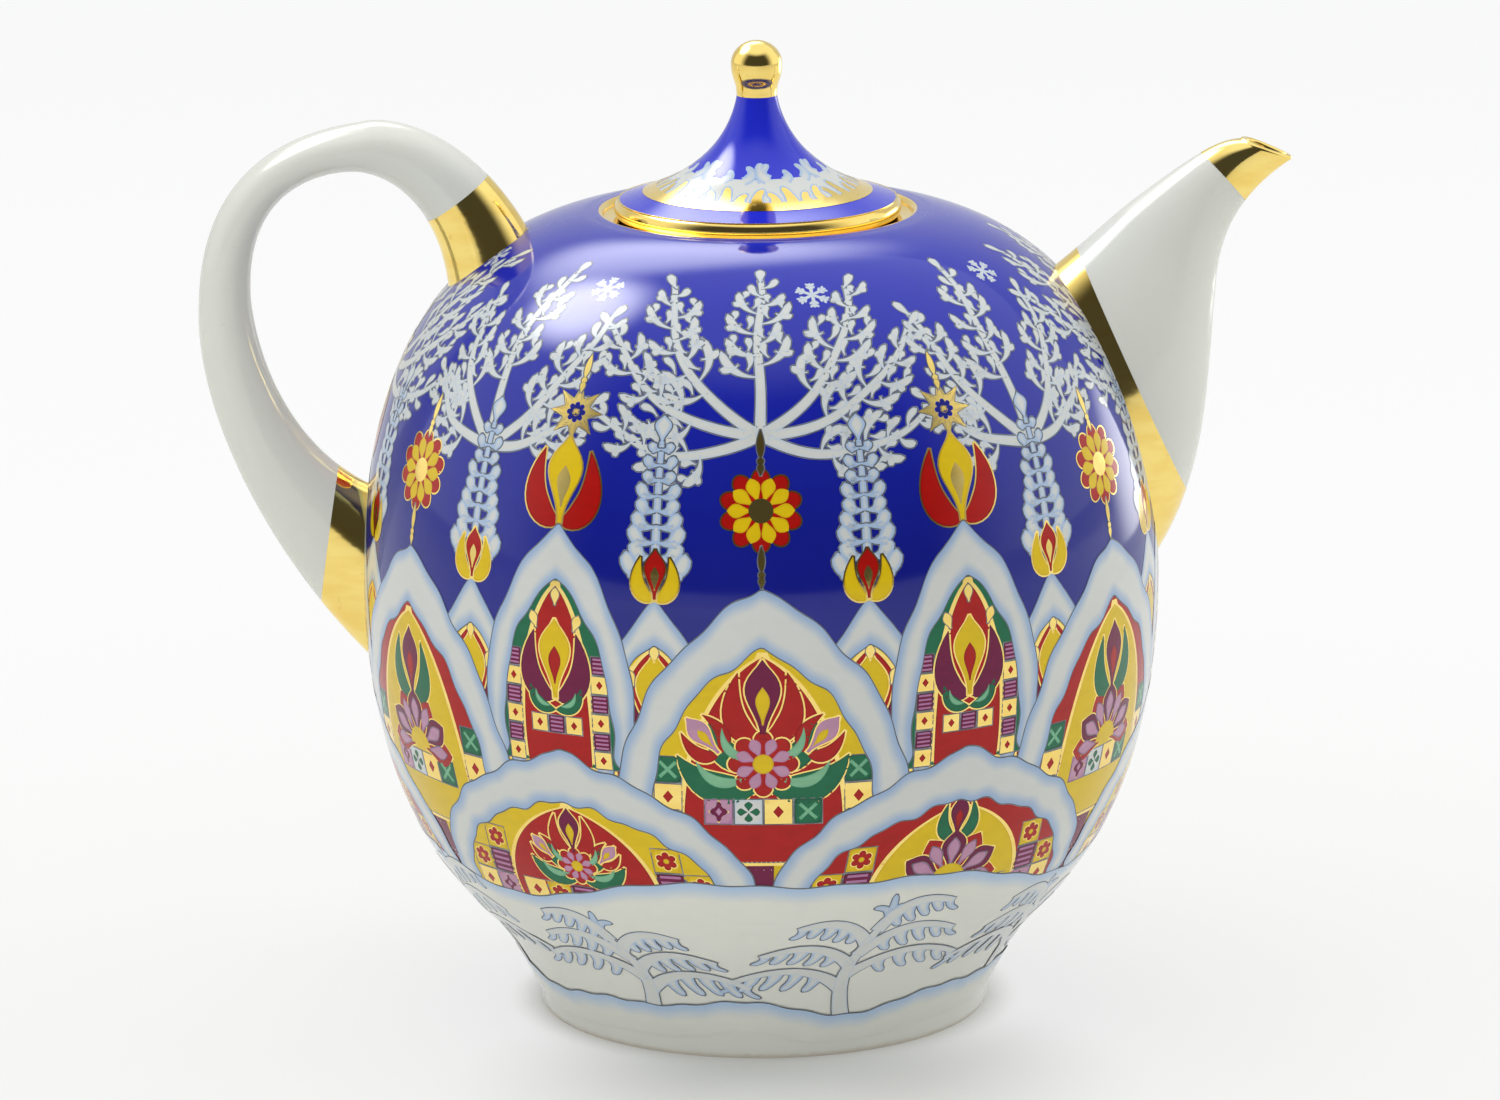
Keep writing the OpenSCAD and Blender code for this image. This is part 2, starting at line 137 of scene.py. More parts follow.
class Mixer:
    """Builds the nodes of one material."""

    def __init__(self, name: str, home: bpy.types.ID | None = None) -> None:
        """Starts without nodes.

        Args:
            name: name of the new material.
            home: what holds the nodes, where it is no new material.
        """
        self.home = home or bpy.data.materials.new(name)
        self.home.use_nodes = True
        self.tree = self.home.node_tree
        self.tree.nodes.clear()

    def node(
        self, kind: str, settings: dict[str, object], inputs: dict[object, object], out: object = 0
    ) -> Sum:
        """One node of any kind.

        Args:
            kind: the node's type name.
            settings: its properties, set before its sockets.
            inputs: values or sums by socket number or name.
            out: the output to hand back.

        Returns:
            The wanted output.
        """
        made = self.tree.nodes.new(kind)
        for key, value in settings.items():
            setattr(made, key, value)
        for key, value in inputs.items():
            if isinstance(value, Sum):
                self.tree.links.new(value.socket, made.inputs[key])
            else:
                made.inputs[key].default_value = value
        return Sum(self, made.outputs[out])

    def noise(self, scale: float, detail: float = 3, stretch: Place = (1, 1, 1)) -> Sum:
        """Noise over the piece.

        Args:
            scale: how many blotches fit in a metre.
            detail: how many finer layers it has.
            stretch: scale along each axis.

        Returns:
            The noise, from 0 to 1.
        """
        place = self.node("ShaderNodeTexCoord", {}, {}, "Object")
        if stretch != (1, 1, 1):
            place = self.node("ShaderNodeMapping", {}, {"Vector": place, "Scale": stretch})
        return self.node("ShaderNodeTexNoise", {}, {"Vector": place, "Scale": scale, "Detail": detail})

    def axis(self, letter: str, space: str = "Object") -> Sum:
        """One coordinate of the shaded spot, in the piece's own space or another one."""
        spot = self.node("ShaderNodeTexCoord", {}, {}, space)
        return self.node("ShaderNodeSeparateXYZ", {}, {0: spot}, letter)

    def ray(self, kind: str) -> Sum:
        """1 for rays of that kind and 0 for all others."""
        return self.node("ShaderNodeLightPath", {}, {}, f"Is {kind} Ray")

    def mark(self, name: str) -> Sum:
        """A number that the mesh holds at its corners."""
        return self.node("ShaderNodeAttribute", {"attribute_name": name}, {}, "Fac")

    def blend(self, factor: object, first: object, second: object) -> Sum:
        """A mix of two colours.

        Args:
            factor: 0 gives the first colour and 1 the second.
            first: a colour or a sum.
            second: a colour or a sum.

        Returns:
            The mixed colour.
        """
        pair = [c if isinstance(c, Sum) else (*c, 1.0) for c in (first, second)]
        settings = {"data_type": "RGBA"}
        return self.node("ShaderNodeMix", settings, {0: factor, 6: pair[0], 7: pair[1]}, 2)

    def relief(self, height: Sum, strength: float, depth: float) -> Sum:
        """A bump from a height.

        Args:
            height: the height, from 0 to 1.
            strength: how much of the bump shows.
            depth: the height of 1, in metres.

        Returns:
            The bent normal.
        """
        return self.node("ShaderNodeBump", {}, {"Strength": strength, "Distance": depth, "Height": height})

    def done(self, base: Sum, rough: Sum, bump: Sum, **fixed: float) -> bpy.types.Material:
        """Ends the material in one Principled shader.

        Args:
            base: its colour.
            rough: its roughness.
            bump: its bent normal.
            fixed: sockets that are the same all over, by name.

        Returns:
            The finished material.
        """
        sockets = {"Base Color": base, "Roughness": rough, "Normal": bump, **fixed}
        self.end(self.node("ShaderNodeBsdfPrincipled", {}, sockets))
        return self.home

    def end(self, shader: Sum, kind: str = "ShaderNodeOutputMaterial") -> None:
        """Links a shader to an output node of that kind."""
        out = self.tree.nodes.new(kind)
        self.tree.links.new(shader.socket, out.inputs["Surface"])


# -------- finishes

PORCELAIN = tint(231, 232, 223)
ENAMEL_WHITE = tint(217, 220, 216)
SNOW_SHADE = tint(158, 185, 219)
COBALT = tint(15, 25, 132)
COBALT_PALE = tint(29, 41, 182)
GOLD = (0.99, 0.77, 0.25)
GREY_LINE = tint(100, 104, 112)
GLAZE_IOR = 1.48
ENAMEL_IOR = 1.37
GLAZE_WAVE = 0.00012


@dataclass(frozen=True)
class Glaze:
    """Clear glaze over white or coloured porcelain, a little wavy, with faint specks."""

    name: str
    body: Colour = PORCELAIN

    def material(self) -> bpy.types.Material:
        """Mixes the glaze.

        Returns:
            Its material.
        """
        mixer = Mixer(self.name)
        cloud = mixer.noise(18, 3)
        speck = mixer.noise(900, 2).rise(0.70, 0.78)
        warm = tuple(v * k for v, k in zip(self.body, (0.975, 0.98, 0.98)))
        base = mixer.blend(cloud.rise(0.35, 0.65), self.body, warm)
        base = mixer.blend(speck * 0.25, base, dimmed(self.body, 0.7))
        rough = 0.05 + 0.04 * mixer.noise(60, 2)
        bump = mixer.relief(mixer.noise(38, 1), 0.35, GLAZE_WAVE)
        return mixer.done(base, rough, bump, IOR=GLAZE_IOR)


@dataclass(frozen=True)
class CobaltGround:
    """The pot's ground: cobalt painted paler towards the shoulder as painted top light, white porcelain
    below, bare under the foot.

    Heights are in metres.
    """

    name: str = "cobalt_ground"
    edge: float = 0.06
    # Heights between which the cobalt is painted paler: painted top light.
    top_light_from: float = 0.118
    top_light_to: float = 0.208
    glazed_from: float = 0.0012
    pooled: Colour = tint(14, 22, 120)
    unglazed: Colour = tint(214, 208, 196)

    def material(self) -> bpy.types.Material:
        """Mixes the ground.

        Returns:
            Its material.
        """
        mixer = Mixer(self.name)
        cloud = mixer.noise(26, 4)
        # Painted top light: the cobalt is painted paler with height towards the shoulder, with a little
        # random cloud mixed in.
        top_light_and_cloud = mixer.axis("Z").rise(self.top_light_from, self.top_light_to) * 0.88 + 0.12 * cloud.rise(0.3, 0.7)
        blue = mixer.blend(top_light_and_cloud, COBALT, COBALT_PALE)
        pool = mixer.noise(240, 3).rise(0.55, 0.8)
        blue = mixer.blend(pool * 0.12, blue, self.pooled)
        height = mixer.axis("Z") + 0.0012 * mixer.noise(400, 2)
        base = mixer.blend(height.rise(self.edge, self.edge + 0.0006), PORCELAIN, blue)
        foot = height.rise(self.glazed_from + 0.001, self.glazed_from)
        base = mixer.blend(foot, base, self.unglazed)
        rough = 0.05 + 0.04 * mixer.noise(60, 2) + 0.5 * foot
        bump = mixer.relief(mixer.noise(38, 1), 0.35, GLAZE_WAVE)
        return mixer.done(base, rough, bump, IOR=GLAZE_IOR)


@dataclass(frozen=True)
class Enamel:
    """One enamel colour, brushed on and fired: streaky, with another tint along its edge."""

    name: str
    body: Colour
    rim: Colour
    rim_width: float = 0.5
    gloss: float = 0.08
    streaky: float = 0.55
    ior: float = ENAMEL_IOR

    def material(self) -> bpy.types.Material:
        """Mixes the enamel.

        Returns:
            Its material.
        """
        mixer = Mixer(self.name)
        streak = mixer.noise(160, 3, (1, 1, 2.5))
        base = mixer.blend(self.streaky * streak.rise(0.35, 0.7), self.body, dimmed(self.body, 0.82))
        edge = mixer.mark("edge") + 0.5 * (mixer.noise(300, 2) - 0.5)
        base = mixer.blend(edge.rise(self.rim_width, 0), base, self.rim)
        rough = self.gloss + 0.06 * streak
        bump = mixer.relief(mixer.noise(38, 1) + 0.03 * streak, 0.35, GLAZE_WAVE)
        return mixer.done(base, rough, bump, IOR=self.ior)


def white(name: str, body: Colour, shade: Colour, reach: float) -> Enamel:
    """A dense, glossy white that is shaded up to a reach from its edge, in millimetres."""
    return Enamel(name, body, shade, reach, 0.06, 0.12, GLAZE_IOR)


@dataclass(frozen=True)
class Gilding:
    """Burnished gold over glaze: mirror-bright, with brush streaks and rubbed spots."""

    name: str
    body: Colour = GOLD
    dull: Colour = (0.95, 0.68, 0.18)
    rubbed: Colour = (0.70, 0.42, 0.10)

    def material(self) -> bpy.types.Material:
        """Mixes the gold.

        Returns:
            Its material.
        """
        mixer = Mixer(self.name)
        brushed = mixer.noise(90, 4, (1, 1, 3))
        worn = mixer.noise(420, 4).rise(0.62, 0.8)
        base = mixer.blend(brushed.rise(0.3, 0.75), self.body, self.dull)
        base = mixer.blend(0.35 * worn, base, self.rubbed)
        rough = 0.07 + 0.07 * brushed + 0.14 * worn
        bump = mixer.relief(mixer.noise(70, 2) + 0.2 * brushed, 0.45, 0.00026)
        return mixer.done(base, rough, bump, Metallic=1.0)


FROST = white("frost_white", ENAMEL_WHITE, tint(200, 212, 226), 0.6)
SNOW = white("snow_white", ENAMEL_WHITE, SNOW_SHADE, 3.9)
ICE = white("ice_white", ENAMEL_WHITE, tint(168, 194, 228), 1.3)
DRIFT = white("drift_white", PORCELAIN, tint(176, 202, 232), 6.0)
INK = Enamel("grey_outline", GREY_LINE, tint(140, 144, 148), 0.1)


# -------- curves


def bezier(points: Array, t: Array) -> Array:
    """Points on a cubic span.

    Args:
        points: the span's four control rows.
        t: parameters from 0 to 1.

    Returns:
        One row for each parameter.
    """
    t = np.asarray(t, float)[:, None]
    p = np.asarray(points, float)
    return (1 - t) ** 3 * p[0] + 3 * (1 - t) ** 2 * t * p[1] + 3 * (1 - t) * t**2 * p[2] + t**3 * p[3]


def mix(a: float, b: float, t: float) -> float:
    """The value a share t of the way from a to b."""
    return a + (b - a) * t


def ease(x: Array, low: float, high: float) -> Array:
    """A smooth step of an array from low to high."""
    t = np.clip((x - low) / (high - low), 0, 1)
    return t * t * (3 - 2 * t)


def right_of(line: Array) -> Array:
    """Unit steps to the right of a line.

    Args:
        line: its points.

    Returns:
        The step at each point.
    """
    run = np.gradient(line, axis=0)
    run /= np.maximum(np.linalg.norm(run, axis=1), 1e-9)[:, None]
    return np.stack([run[:, 1], -run[:, 0]], 1)


def run_length(line: Array) -> Array:
    """Length along a line, at each of its points."""
    return np.concatenate([[0], np.cumsum(np.hypot(*np.diff(line, axis=0).T))])


def resample(line: Array, count: int) -> Array:
    """The same line with other points.

    Args:
        line: its points.
        count: how many it gets, at even steps.

    Returns:
        The new points.
    """
    length = run_length(line)
    at = np.linspace(0, length[-1], count)
    return np.stack([np.interp(at, length, line[:, k]) for k in (0, 1)], 1)


@dataclass
class Outline:
    """A turned outline: radius and height in millimetres, by length along it."""

    points: Array
    length: Array = field(init=False)
    normal: Array = field(init=False)

    def __post_init__(self) -> None:
        """Measures the outline and its normals."""
        self.length = run_length(self.points)
        slope = np.gradient(self.points, self.length, axis=0)
        slope /= np.linalg.norm(slope, axis=1)[:, None]
        self.normal = np.stack([slope[:, 1], -slope[:, 0]], axis=1)

    def at(self, along: Array) -> tuple[Array, Array, Array, Array]:
        """Finds places on the outline.

        Args:
            along: lengths along it.

        Returns:
            Radius, height, and the normal's two parts.
        """
        rows = (*self.points.T, *self.normal.T)
        r, z, nr, nz = (np.interp(along, self.length, v) for v in rows)
        size = np.hypot(nr, nz)
        return r, z, nr / size, nz / size

    def along(self, z: float) -> float:
        """Length at which the outline reaches height z on its way up."""
        return float(np.interp(z, np.maximum.accumulate(self.points[:, 1]), self.length))

    def wrap_at(self, angle: float) -> Wrap:
        """How painted shapes round one angle come to lie on the outline.

        Args:
            angle: the middle's angle about the pot's axis, in radians.

        Returns:
            A function of across, along and lift in millimetres that gives points in
            metres and their normals.
        """

        def wrap(x: Array, y: Array, lift: float) -> tuple[Array, Array]:
            """Lays flat points on the skin.

            Args:
                x: places across.
                y: lengths along the outline.
                lift: distance off the skin.

            Returns:
                The points and their normals.
            """
            r, z, nr, nz = self.at(y)
            turn = angle + x / np.maximum(r, 1.0)
            c, s = np.cos(turn), np.sin(turn)
            reach = r + nr * lift
            points = np.stack([reach * c, reach * s, z + nz * lift], axis=-1)
            return points * MM, np.stack([nr * c, nr * s, nz], axis=-1)

        return wrap


# -------- painted shapes


@dataclass(frozen=True)
class Shape:
    """A painted shape in millimetres: rungs between two chains of points."""

    near: Array
    far: Array
    hub: bool = False

    def moved(self, x: float = 0, y: float = 0, turn: float = 0, flip: bool = False) -> "Shape":
        """The shape turned and moved.

        Args:
            x: shift across.
            y: shift up.
            turn: degrees, counter-clockwise.
            flip: mirrors it across first.

        Returns:
            The new shape.
        """
        c, s = math.cos(math.radians(turn)), math.sin(math.radians(turn))
        sign = np.array([-1 if flip else 1, 1])
        near, far = ((p * sign) @ np.array([[c, s], [-s, c]]) + (x, y) for p in (self.near, self.far))
        if flip:
            near, far = (near[::-1], far[::-1]) if self.hub else (far, near)
        return Shape(near, far, self.hub)

    def grown(self, by: float) -> "Shape":
        """The shape with its outline set out on all sides.

        Args:
            by: how far, in millimetres.

        Returns:
            The larger shape.
        """
        if self.hub:
            slope = np.roll(self.far, -1, 0) - np.roll(self.far, 1, 0)
            slope[0] = slope[-1] = self.far[1] - self.far[-2]
            out = np.stack([slope[:, 1], -slope[:, 0]], 1)
            out /= np.maximum(np.linalg.norm(out, axis=1), 1e-9)[:, None]
            away = np.sign(np.sum(out * (self.far - self.near), axis=1).sum()) or 1
            return Shape(self.near, self.far + away * by * out, True)
        across = self.far - self.near
        wide = np.linalg.norm(across, axis=1)[:, None]
        side = right_of((self.near + self.far) / 2)
        run = np.stack([-side[:, 1], side[:, 0]], 1)
        side *= np.sign(np.sum(side * across, axis=1, keepdims=True).sum()) or 1
        unit = np.where(wide > 0.3, across / np.maximum(wide, 1e-9), side)
        near, far = self.near - by * unit, self.far + by * unit
        for chain in (near, far):
            chain[0] -= by * run[0]
            chain[-1] += by * run[-1]
        return Shape(near, far)

    def grid(self, cell: float) -> tuple[Array, Array]:
        """The shape's points as rungs of equal count.

        Args:
            cell: widest piece of a rung, in millimetres.

        Returns:
            The points, and each point's distance to the shape's edge.
        """
        width = np.linalg.norm(self.far - self.near, axis=1)
        count = max(2, int(math.ceil(width.max() / cell)))
        t = np.linspace(0, 1, count + 1)[None, :, None]
        grid = self.near[:, None] * (1 - t) + self.far[:, None] * t
        share = t[0, :, 0]
        side = 1 - share if self.hub else np.minimum(share, 1 - share)
        edge = side[None] * width[:, None]
        if not self.hub and min(width[0], width[-1]) > 0.5:
            run = run_length(grid[:, count // 2])
            edge = np.minimum(edge, np.minimum(run, run[-1] - run)[:, None])
        return grid, edge


def spine(start: Spot, end: Spot, bend: float, steps: int) -> Array:
    """A bowed line of points from start to end.

    Args:
        start: first point.
        end: last point.
        bend: how far the middle bows to the left, as a share of the length.
        steps: how many pieces it has.

    Returns:
        The points.
    """
    a, b = np.array(start, float), np.array(end, float)
    side = np.array([-(b - a)[1], (b - a)[0]])
    t = np.linspace(0, 1, steps + 1)
    control = [a, a + (b - a) / 3 + side * bend * 4 / 3, a + (b - a) * 2 / 3 + side * bend * 4 / 3, b]
    return bezier(np.array(control), t)


def brush(line: Array, width: Array) -> Shape:
    """A stroke along a line with a width at each point."""
    side = right_of(line) * (np.asarray(width)[:, None] / 2)
    return Shape(line - side, line + side)


def comma(start: Spot, end: Spot, width: float, bend: float, steps: int) -> Shape:
    """A comma stroke: narrow at its start, swelling to a round head at its end.

    Args:
        start: its start.
        end: its end.
        width: the head's width.
        bend: how far it bows to the left, as a share of its length.
        steps: pieces along it.

    Returns:
        The shape.
    """
    t = np.linspace(0, 1, steps + 1)
    body = 0.18 + 0.82 * ease(t, 0, 0.72)
    head = np.sqrt(np.clip(1 - ((t - 0.8) / 0.2) ** 2, 0, 1))
    swell = np.where(t > 0.8, head, 1) * body
    swell[-1] = 0.08
    return brush(spine(start, end, bend, steps), width * swell)


def leaf(start: Spot, end: Spot, width: float, bend: float) -> Shape:
    """A leaf that is pointed at both ends."""
    t = np.linspace(0, 1, 13)
    return brush(spine(start, end, bend, 12), width * (np.sin(math.pi * t**0.85) ** 0.9 + 0.02))


def petal(start: Spot, end: Spot, width: float, point: float = 0.0, steps: int = 14) -> Shape:
    """A petal from a narrow foot to a round or pointed tip.

    Args:
        start: its foot.
        end: its tip.
        width: its greatest width.
        point: 0 for a round tip, 1 for a pointed one.
        steps: pieces along it.

    Returns:
        The shape.
    """
    t = np.linspace(0, 1, steps + 1)
    lobe = np.sin(math.pi * np.clip(t, 0, 1) ** 1.5) ** (0.75 + 0.5 * point)
    return brush(spine(start, end, 0, steps), width * (lobe + 0.02 + 0.12 * (1 - t) ** 2))


def finger(start: Spot, end: Spot, width: float, bend: float = 0.0) -> Shape:
    """A stroke that is broad at its start and narrows to a round tip.

    Args:
        start: its broad end.
        end: its tip.
        width: the broad end's width.
        bend: how far it bows to the left, as a share of its length.

    Returns:
        The shape.
    """
    steps = 18
    t = np.linspace(0, 1, steps + 1)
    tip = np.sqrt(np.clip(1 - (np.clip(t - 0.72, 0, 1) / 0.28) ** 2, 0, 1))
    return brush(spine(start, end, bend, steps), width * (1 - 0.4 * ease(t, 0, 0.8)) * tip + 0.05)


def hoop(low: Array, high: Array, radius: float) -> Shape:
    """A band that closes round the pot, between two lines of heights; its edge is the high one.

    Args:
        low: heights of its lower line, from the back round the front to the back again.
        high: heights of its upper line.
        radius: the radius at which across is true.

    Returns:
        The shape.
    """
    x = np.linspace(-math.pi * radius, math.pi * radius, len(high))
    return Shape(np.stack([x, low], 1), np.stack([x, high], 1), True)


def ribbon(line: Array, width: float, taper: float = 0.0) -> Shape:
    """A stroke of nearly even width.

    Args:
        line: its middle line.
        width: its width.
        taper: share by which it thins towards its end.

    Returns:
        The shape.
    """
    wide = width * (1 - taper * np.linspace(0, 1, len(line)))
    wide[[0, -1]] *= 0.5
    return brush(line, wide)


def fan(rim: Array) -> Shape:
    """A filled ring of points round their middle; the last point joins the first."""
    rim = np.vstack([rim, rim[:1]])
    return Shape(np.repeat(rim[:-1].mean(0)[None], len(rim), 0), rim, True)


def spokes(radius: Array | float, angle: Array) -> Shape:
    """A filled ring of points from their radius and angle round the origin."""
    return fan(np.stack([radius * np.cos(angle), radius * np.sin(angle)], 1))


def disc(radius: float) -> Shape:
    """A filled circle."""
    return spokes(radius, np.linspace(0, FULL, 20, endpoint=False))


def star(points: int, outer: float, inner: float) -> Shape:
    """A star of straight rays, the first one upright."""
    a = np.arange(2 * points) * math.pi / points + math.pi / 2
    return spokes(np.resize([outer, inner], 2 * points), a)


def rosette(lobes: int, radius: float, depth: float) -> Shape:
    """A scalloped disc; depth is the notches' share of the radius."""
    a = np.linspace(0, FULL, lobes * 8, endpoint=False)
    return spokes(radius * (1 - depth + depth * np.abs(np.cos(lobes * (a - math.pi / 2) / 2)) ** 0.7), a)


def lozenge(wide: float, high: float) -> Shape:
    """A diamond."""
    return fan(np.array([[0, high / 2], [-wide / 2, 0], [0, -high / 2], [wide / 2, 0]]))


def block(left: float, right: float, low: float, high: float) -> Shape:
    """An upright box of paint, in pieces of 2 mm or less.

    Args:
        left: its left side.
        right: its right side.
        low: its foot.
        high: its top.

    Returns:
        The shape.
    """
    y = np.linspace(low, high, max(1, math.ceil((high - low) / 2.0)) + 1)
    return Shape(np.stack([np.full_like(y, left), y], 1), np.stack([np.full_like(y, right), y], 1))


def arch_line(half: float, height: float, point: float, steps: int = 44) -> Array:
    """An arch with a keel point, from its left foot over the top to its right foot.

    Args:
        half: half the width at the feet.
        height: height of the point.
        point: how far the keel rises above a round arch, as a share of the height.
        steps: pieces in each half.

    Returns:
        The points.
    """
    low = [-half * 1.16, height * (0.62 - 0.2 * point)]
    high = [-half * 0.52, height * (1.0 - point * 0.9)]
    left = bezier(np.array([[-half, 0], low, high, [0, height]]), np.linspace(0, 1, steps + 1))
    return np.vstack([left, left[::-1][1:] * (-1, 1)])


def infill(line: Array) -> Shape:
    """The field under an arch line, as level rungs between its halves."""
    middle = len(line) // 2
    return Shape(line[: middle + 1], line[middle:][::-1])


# -------- mesh kit


def make_mesh(
    name: str,
    points: Array,
    faces: list[tuple[int, ...]] | Array,
    normals: Array | None = None,
    marks: dict[str, Array] | None = None,
) -> Piece:
    """A smooth mesh object from arrays.

    Args:
        name: the piece's name.
        points: one row for each corner point, in metres.
        faces: corner numbers of each face.
        normals: the skin's normal at each point, if they are known.
        marks: numbers that the points hold, by name.

    Returns:
        The object, linked to the scene.
    """
    mesh = bpy.data.meshes.new(name)
    mesh.from_pydata(points.tolist(), [], faces if isinstance(faces, list) else faces.tolist())
    mesh.polygons.foreach_set("use_smooth", np.ones(len(mesh.polygons), bool))
    for key, values in (marks or {}).items():
        mesh.attributes.new(key, "FLOAT", "POINT").data.foreach_set("value", values.astype(np.float32))
    mesh.update()
    if normals is not None:
        mesh.normals_split_custom_set_from_vertices(normals.tolist())
    piece = bpy.data.objects.new(name, mesh)
    bpy.context.scene.collection.objects.link(piece)
    return piece


def quads(rows: int, columns: int, round_: bool = False) -> Array:
    """Faces between the rows of a grid of points.

    Args:
        rows: rungs of the grid.
        columns: points in each rung.
        round_: joins each rung's last point to its first.

    Returns:
        Four corner numbers for each face.
    """
    low = np.arange(rows - 1)[:, None] * columns
    high = low + columns
    j = np.arange(columns if round_ else columns - 1)[None]
    k = (j + 1) % columns
    return np.stack([low + j, low + k, high + k, high + j], -1).reshape(-1, 4)


def dress(piece: Piece, material: bpy.types.Material, body: str, slot: str, *nodes: str) -> None:
    """Gives a piece its material and body.

    Args:
        piece: the piece.
        material: what it is made of.
        body: the moving body that carries it.
        slot: the record's material slot; it is not used.
        nodes: solids that it stands for.
    """
    piece.data.materials.clear()
    piece.data.materials.append(material)
    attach(piece, body)
    if nodes:
        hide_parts(*nodes)
    LOG.info("%s: %d faces on %s", piece.name, len(piece.data.polygons), body)


# Widest step across a painted shape, in millimetres.
CELL = 1.2


@dataclass
class Layer:
    """One sheet of painted shapes of the same finish: its points, their normals and edge marks, its faces."""

    name: str
    points: list[Array] = field(default_factory=list)
    normals: list[Array] = field(default_factory=list)
    edges: list[Array] = field(default_factory=list)
    faces: list[Array] = field(default_factory=list)
    count: int = 0

    def add(self, shape: Shape, wraps: list[Wrap], lift: float) -> None:
        """Lays a shape on the skin at each of several places.

        Args:
            shape: what is painted.
            wraps: how shapes lie on the skin at each place.
            lift: distance off the skin, in millimetres.
        """
        grid, edge = shape.grid(CELL)
        flat = grid.reshape(-1, 2)
        face = quads(*grid.shape[:2])
        first, second = flat[face[:, 2]] - flat[face[:, 0]], flat[face[:, 3]] - flat[face[:, 1]]
        span = first[:, 0] * second[:, 1] - first[:, 1] * second[:, 0]
        if span.sum() < 0:
            face = face[:, ::-1]
        face = face[np.abs(span) > 1e-4]
        for wrap in wraps:
            points, normals = wrap(flat[:, 0], flat[:, 1], lift)
            self.points.append(points)
            self.normals.append(normals)
            self.edges.append(edge.reshape(-1))
            self.faces.append(face + self.count)
            self.count += len(flat)

    def build(self) -> Piece:
        """Makes one mesh of it.

        Returns:
            The piece.
        """
        parts = (self.points, self.faces, self.normals, self.edges)
        points, faces, normals, edges = map(np.concatenate, parts)
        return make_mesh(self.name, points, faces, normals, {"edge": edges})


# -------- the painter's kit


class Paint(Enum):
    """The colours on the palette, by the name of the layer that each one makes."""

    RED = "enamel_red"
    YELLOW = "enamel_yellow"
    GREEN = "enamel_green"
    MINT = "enamel_mint"
    PLUM = "enamel_plum"
    LILAC = "enamel_lilac"
    BLUE = "cobalt_strokes"
    FROST = "white_lace"
    SNOW = "white_swags"
    ICE = "white_plumes"
    DRIFT = "white_drifts"
    INK = "grey_lines"
    LACE_INK = "lace_lines"
    SWAG_INK = "swag_lines"
    GILT = "gold_lines"


FINISHES = {
    Paint.RED: Enamel("enamel_red", tint(180, 20, 14), tint(146, 14, 14)),
    Paint.YELLOW: Enamel("enamel_yellow", tint(232, 198, 20), tint(216, 176, 20), 0.5, 0.08, 0.3),
    Paint.GREEN: Enamel("enamel_green", tint(28, 112, 76), tint(20, 86, 60)),
    Paint.MINT: Enamel("enamel_mint", tint(136, 194, 154), tint(110, 180, 140)),
    Paint.PLUM: Enamel("enamel_plum", tint(116, 18, 66), tint(90, 14, 52)),
    Paint.LILAC: Enamel("enamel_lilac", tint(199, 150, 179), tint(184, 122, 168)),
    Paint.BLUE: Enamel("cobalt_strokes", COBALT, COBALT_PALE, 0.3),
    Paint.FROST: FROST,
    Paint.SNOW: SNOW,
    Paint.ICE: ICE,
    Paint.DRIFT: DRIFT,
    Paint.INK: INK,
    Paint.LACE_INK: INK,
    Paint.SWAG_INK: INK,
    Paint.GILT: Gilding("gold_lines"),
}
# How far each level of paint lies off the skin, and an outline below its shape, in millimetres.
LEVELS = tuple(0.0074 * (k + 1) for k in range(20)) + (0.168, 0.188, 0.208, 0.228, 0.248)
LINE_DROP = 0.0037
LINE_SHEETS = {Paint.FROST: Paint.LACE_INK, Paint.ICE: Paint.LACE_INK, Paint.SNOW: Paint.SWAG_INK}


@dataclass(frozen=True)
class Touch:
    """One touch of the brush: a shape in a colour, on a level, with or without an outline."""

    paint: Paint
    shape: Shape
    level: int = 2
    line: Paint | None = Paint.INK
    line_width: float = 0.35


Motif = list[Touch]


@dataclass
class Canvas:
    """The layers of paint on one moving body, which they are named after."""

    body: str
    layers: dict[Paint, Layer] = field(default_factory=dict)

    def layer(self, paint: Paint) -> Layer:
        """The layer of one colour."""
        return self.layers.setdefault(paint, Layer(f"{self.body}_{paint.value}"))

    def lay(self, touches: Motif, wraps: list[Wrap], y: float, turn: float = 0, over: int = 0) -> None:
        """Paints a motif at each of several places.

        Args:
            touches: the motif.
            wraps: the places.
            y: shift along the skin, in millimetres.
            turn: degrees, counter-clockwise.
            over: levels by which all of it lies higher.
        """
        for touch in touches:
            shape = touch.shape.moved(y=y, turn=turn)
            lift = LEVELS[touch.level + over]
            line = touch.line
            if line is Paint.INK:
                line = LINE_SHEETS.get(touch.paint, line)
            if line:
                self.layer(line).add(shape.grown(touch.line_width), wraps, lift - LINE_DROP)
            self.layer(touch.paint).add(shape, wraps, lift)

    def build(self) -> None:
        """Makes one piece of each layer."""
        for paint, layer in self.layers.items():
            slot = "gilding" if paint is Paint.GILT else "cobalt_glaze"
            dress(layer.build(), FINISHES[paint].material(), self.body, slot)


def placed(touches: Motif, **move: float) -> Motif:
    """The touches after a move, as Shape.moved takes it."""
    return [replace(t, shape=t.shape.moved(**move)) for t in touches]


def both(touches: Motif) -> Motif:
    """The touches and their mirror images."""
    return touches + placed(touches, flip=True)


def raised(touches: Motif, by: int) -> Motif:
    """The touches, some levels higher."""
    return [replace(t, level=t.level + by) for t in touches]


# -------- motifs


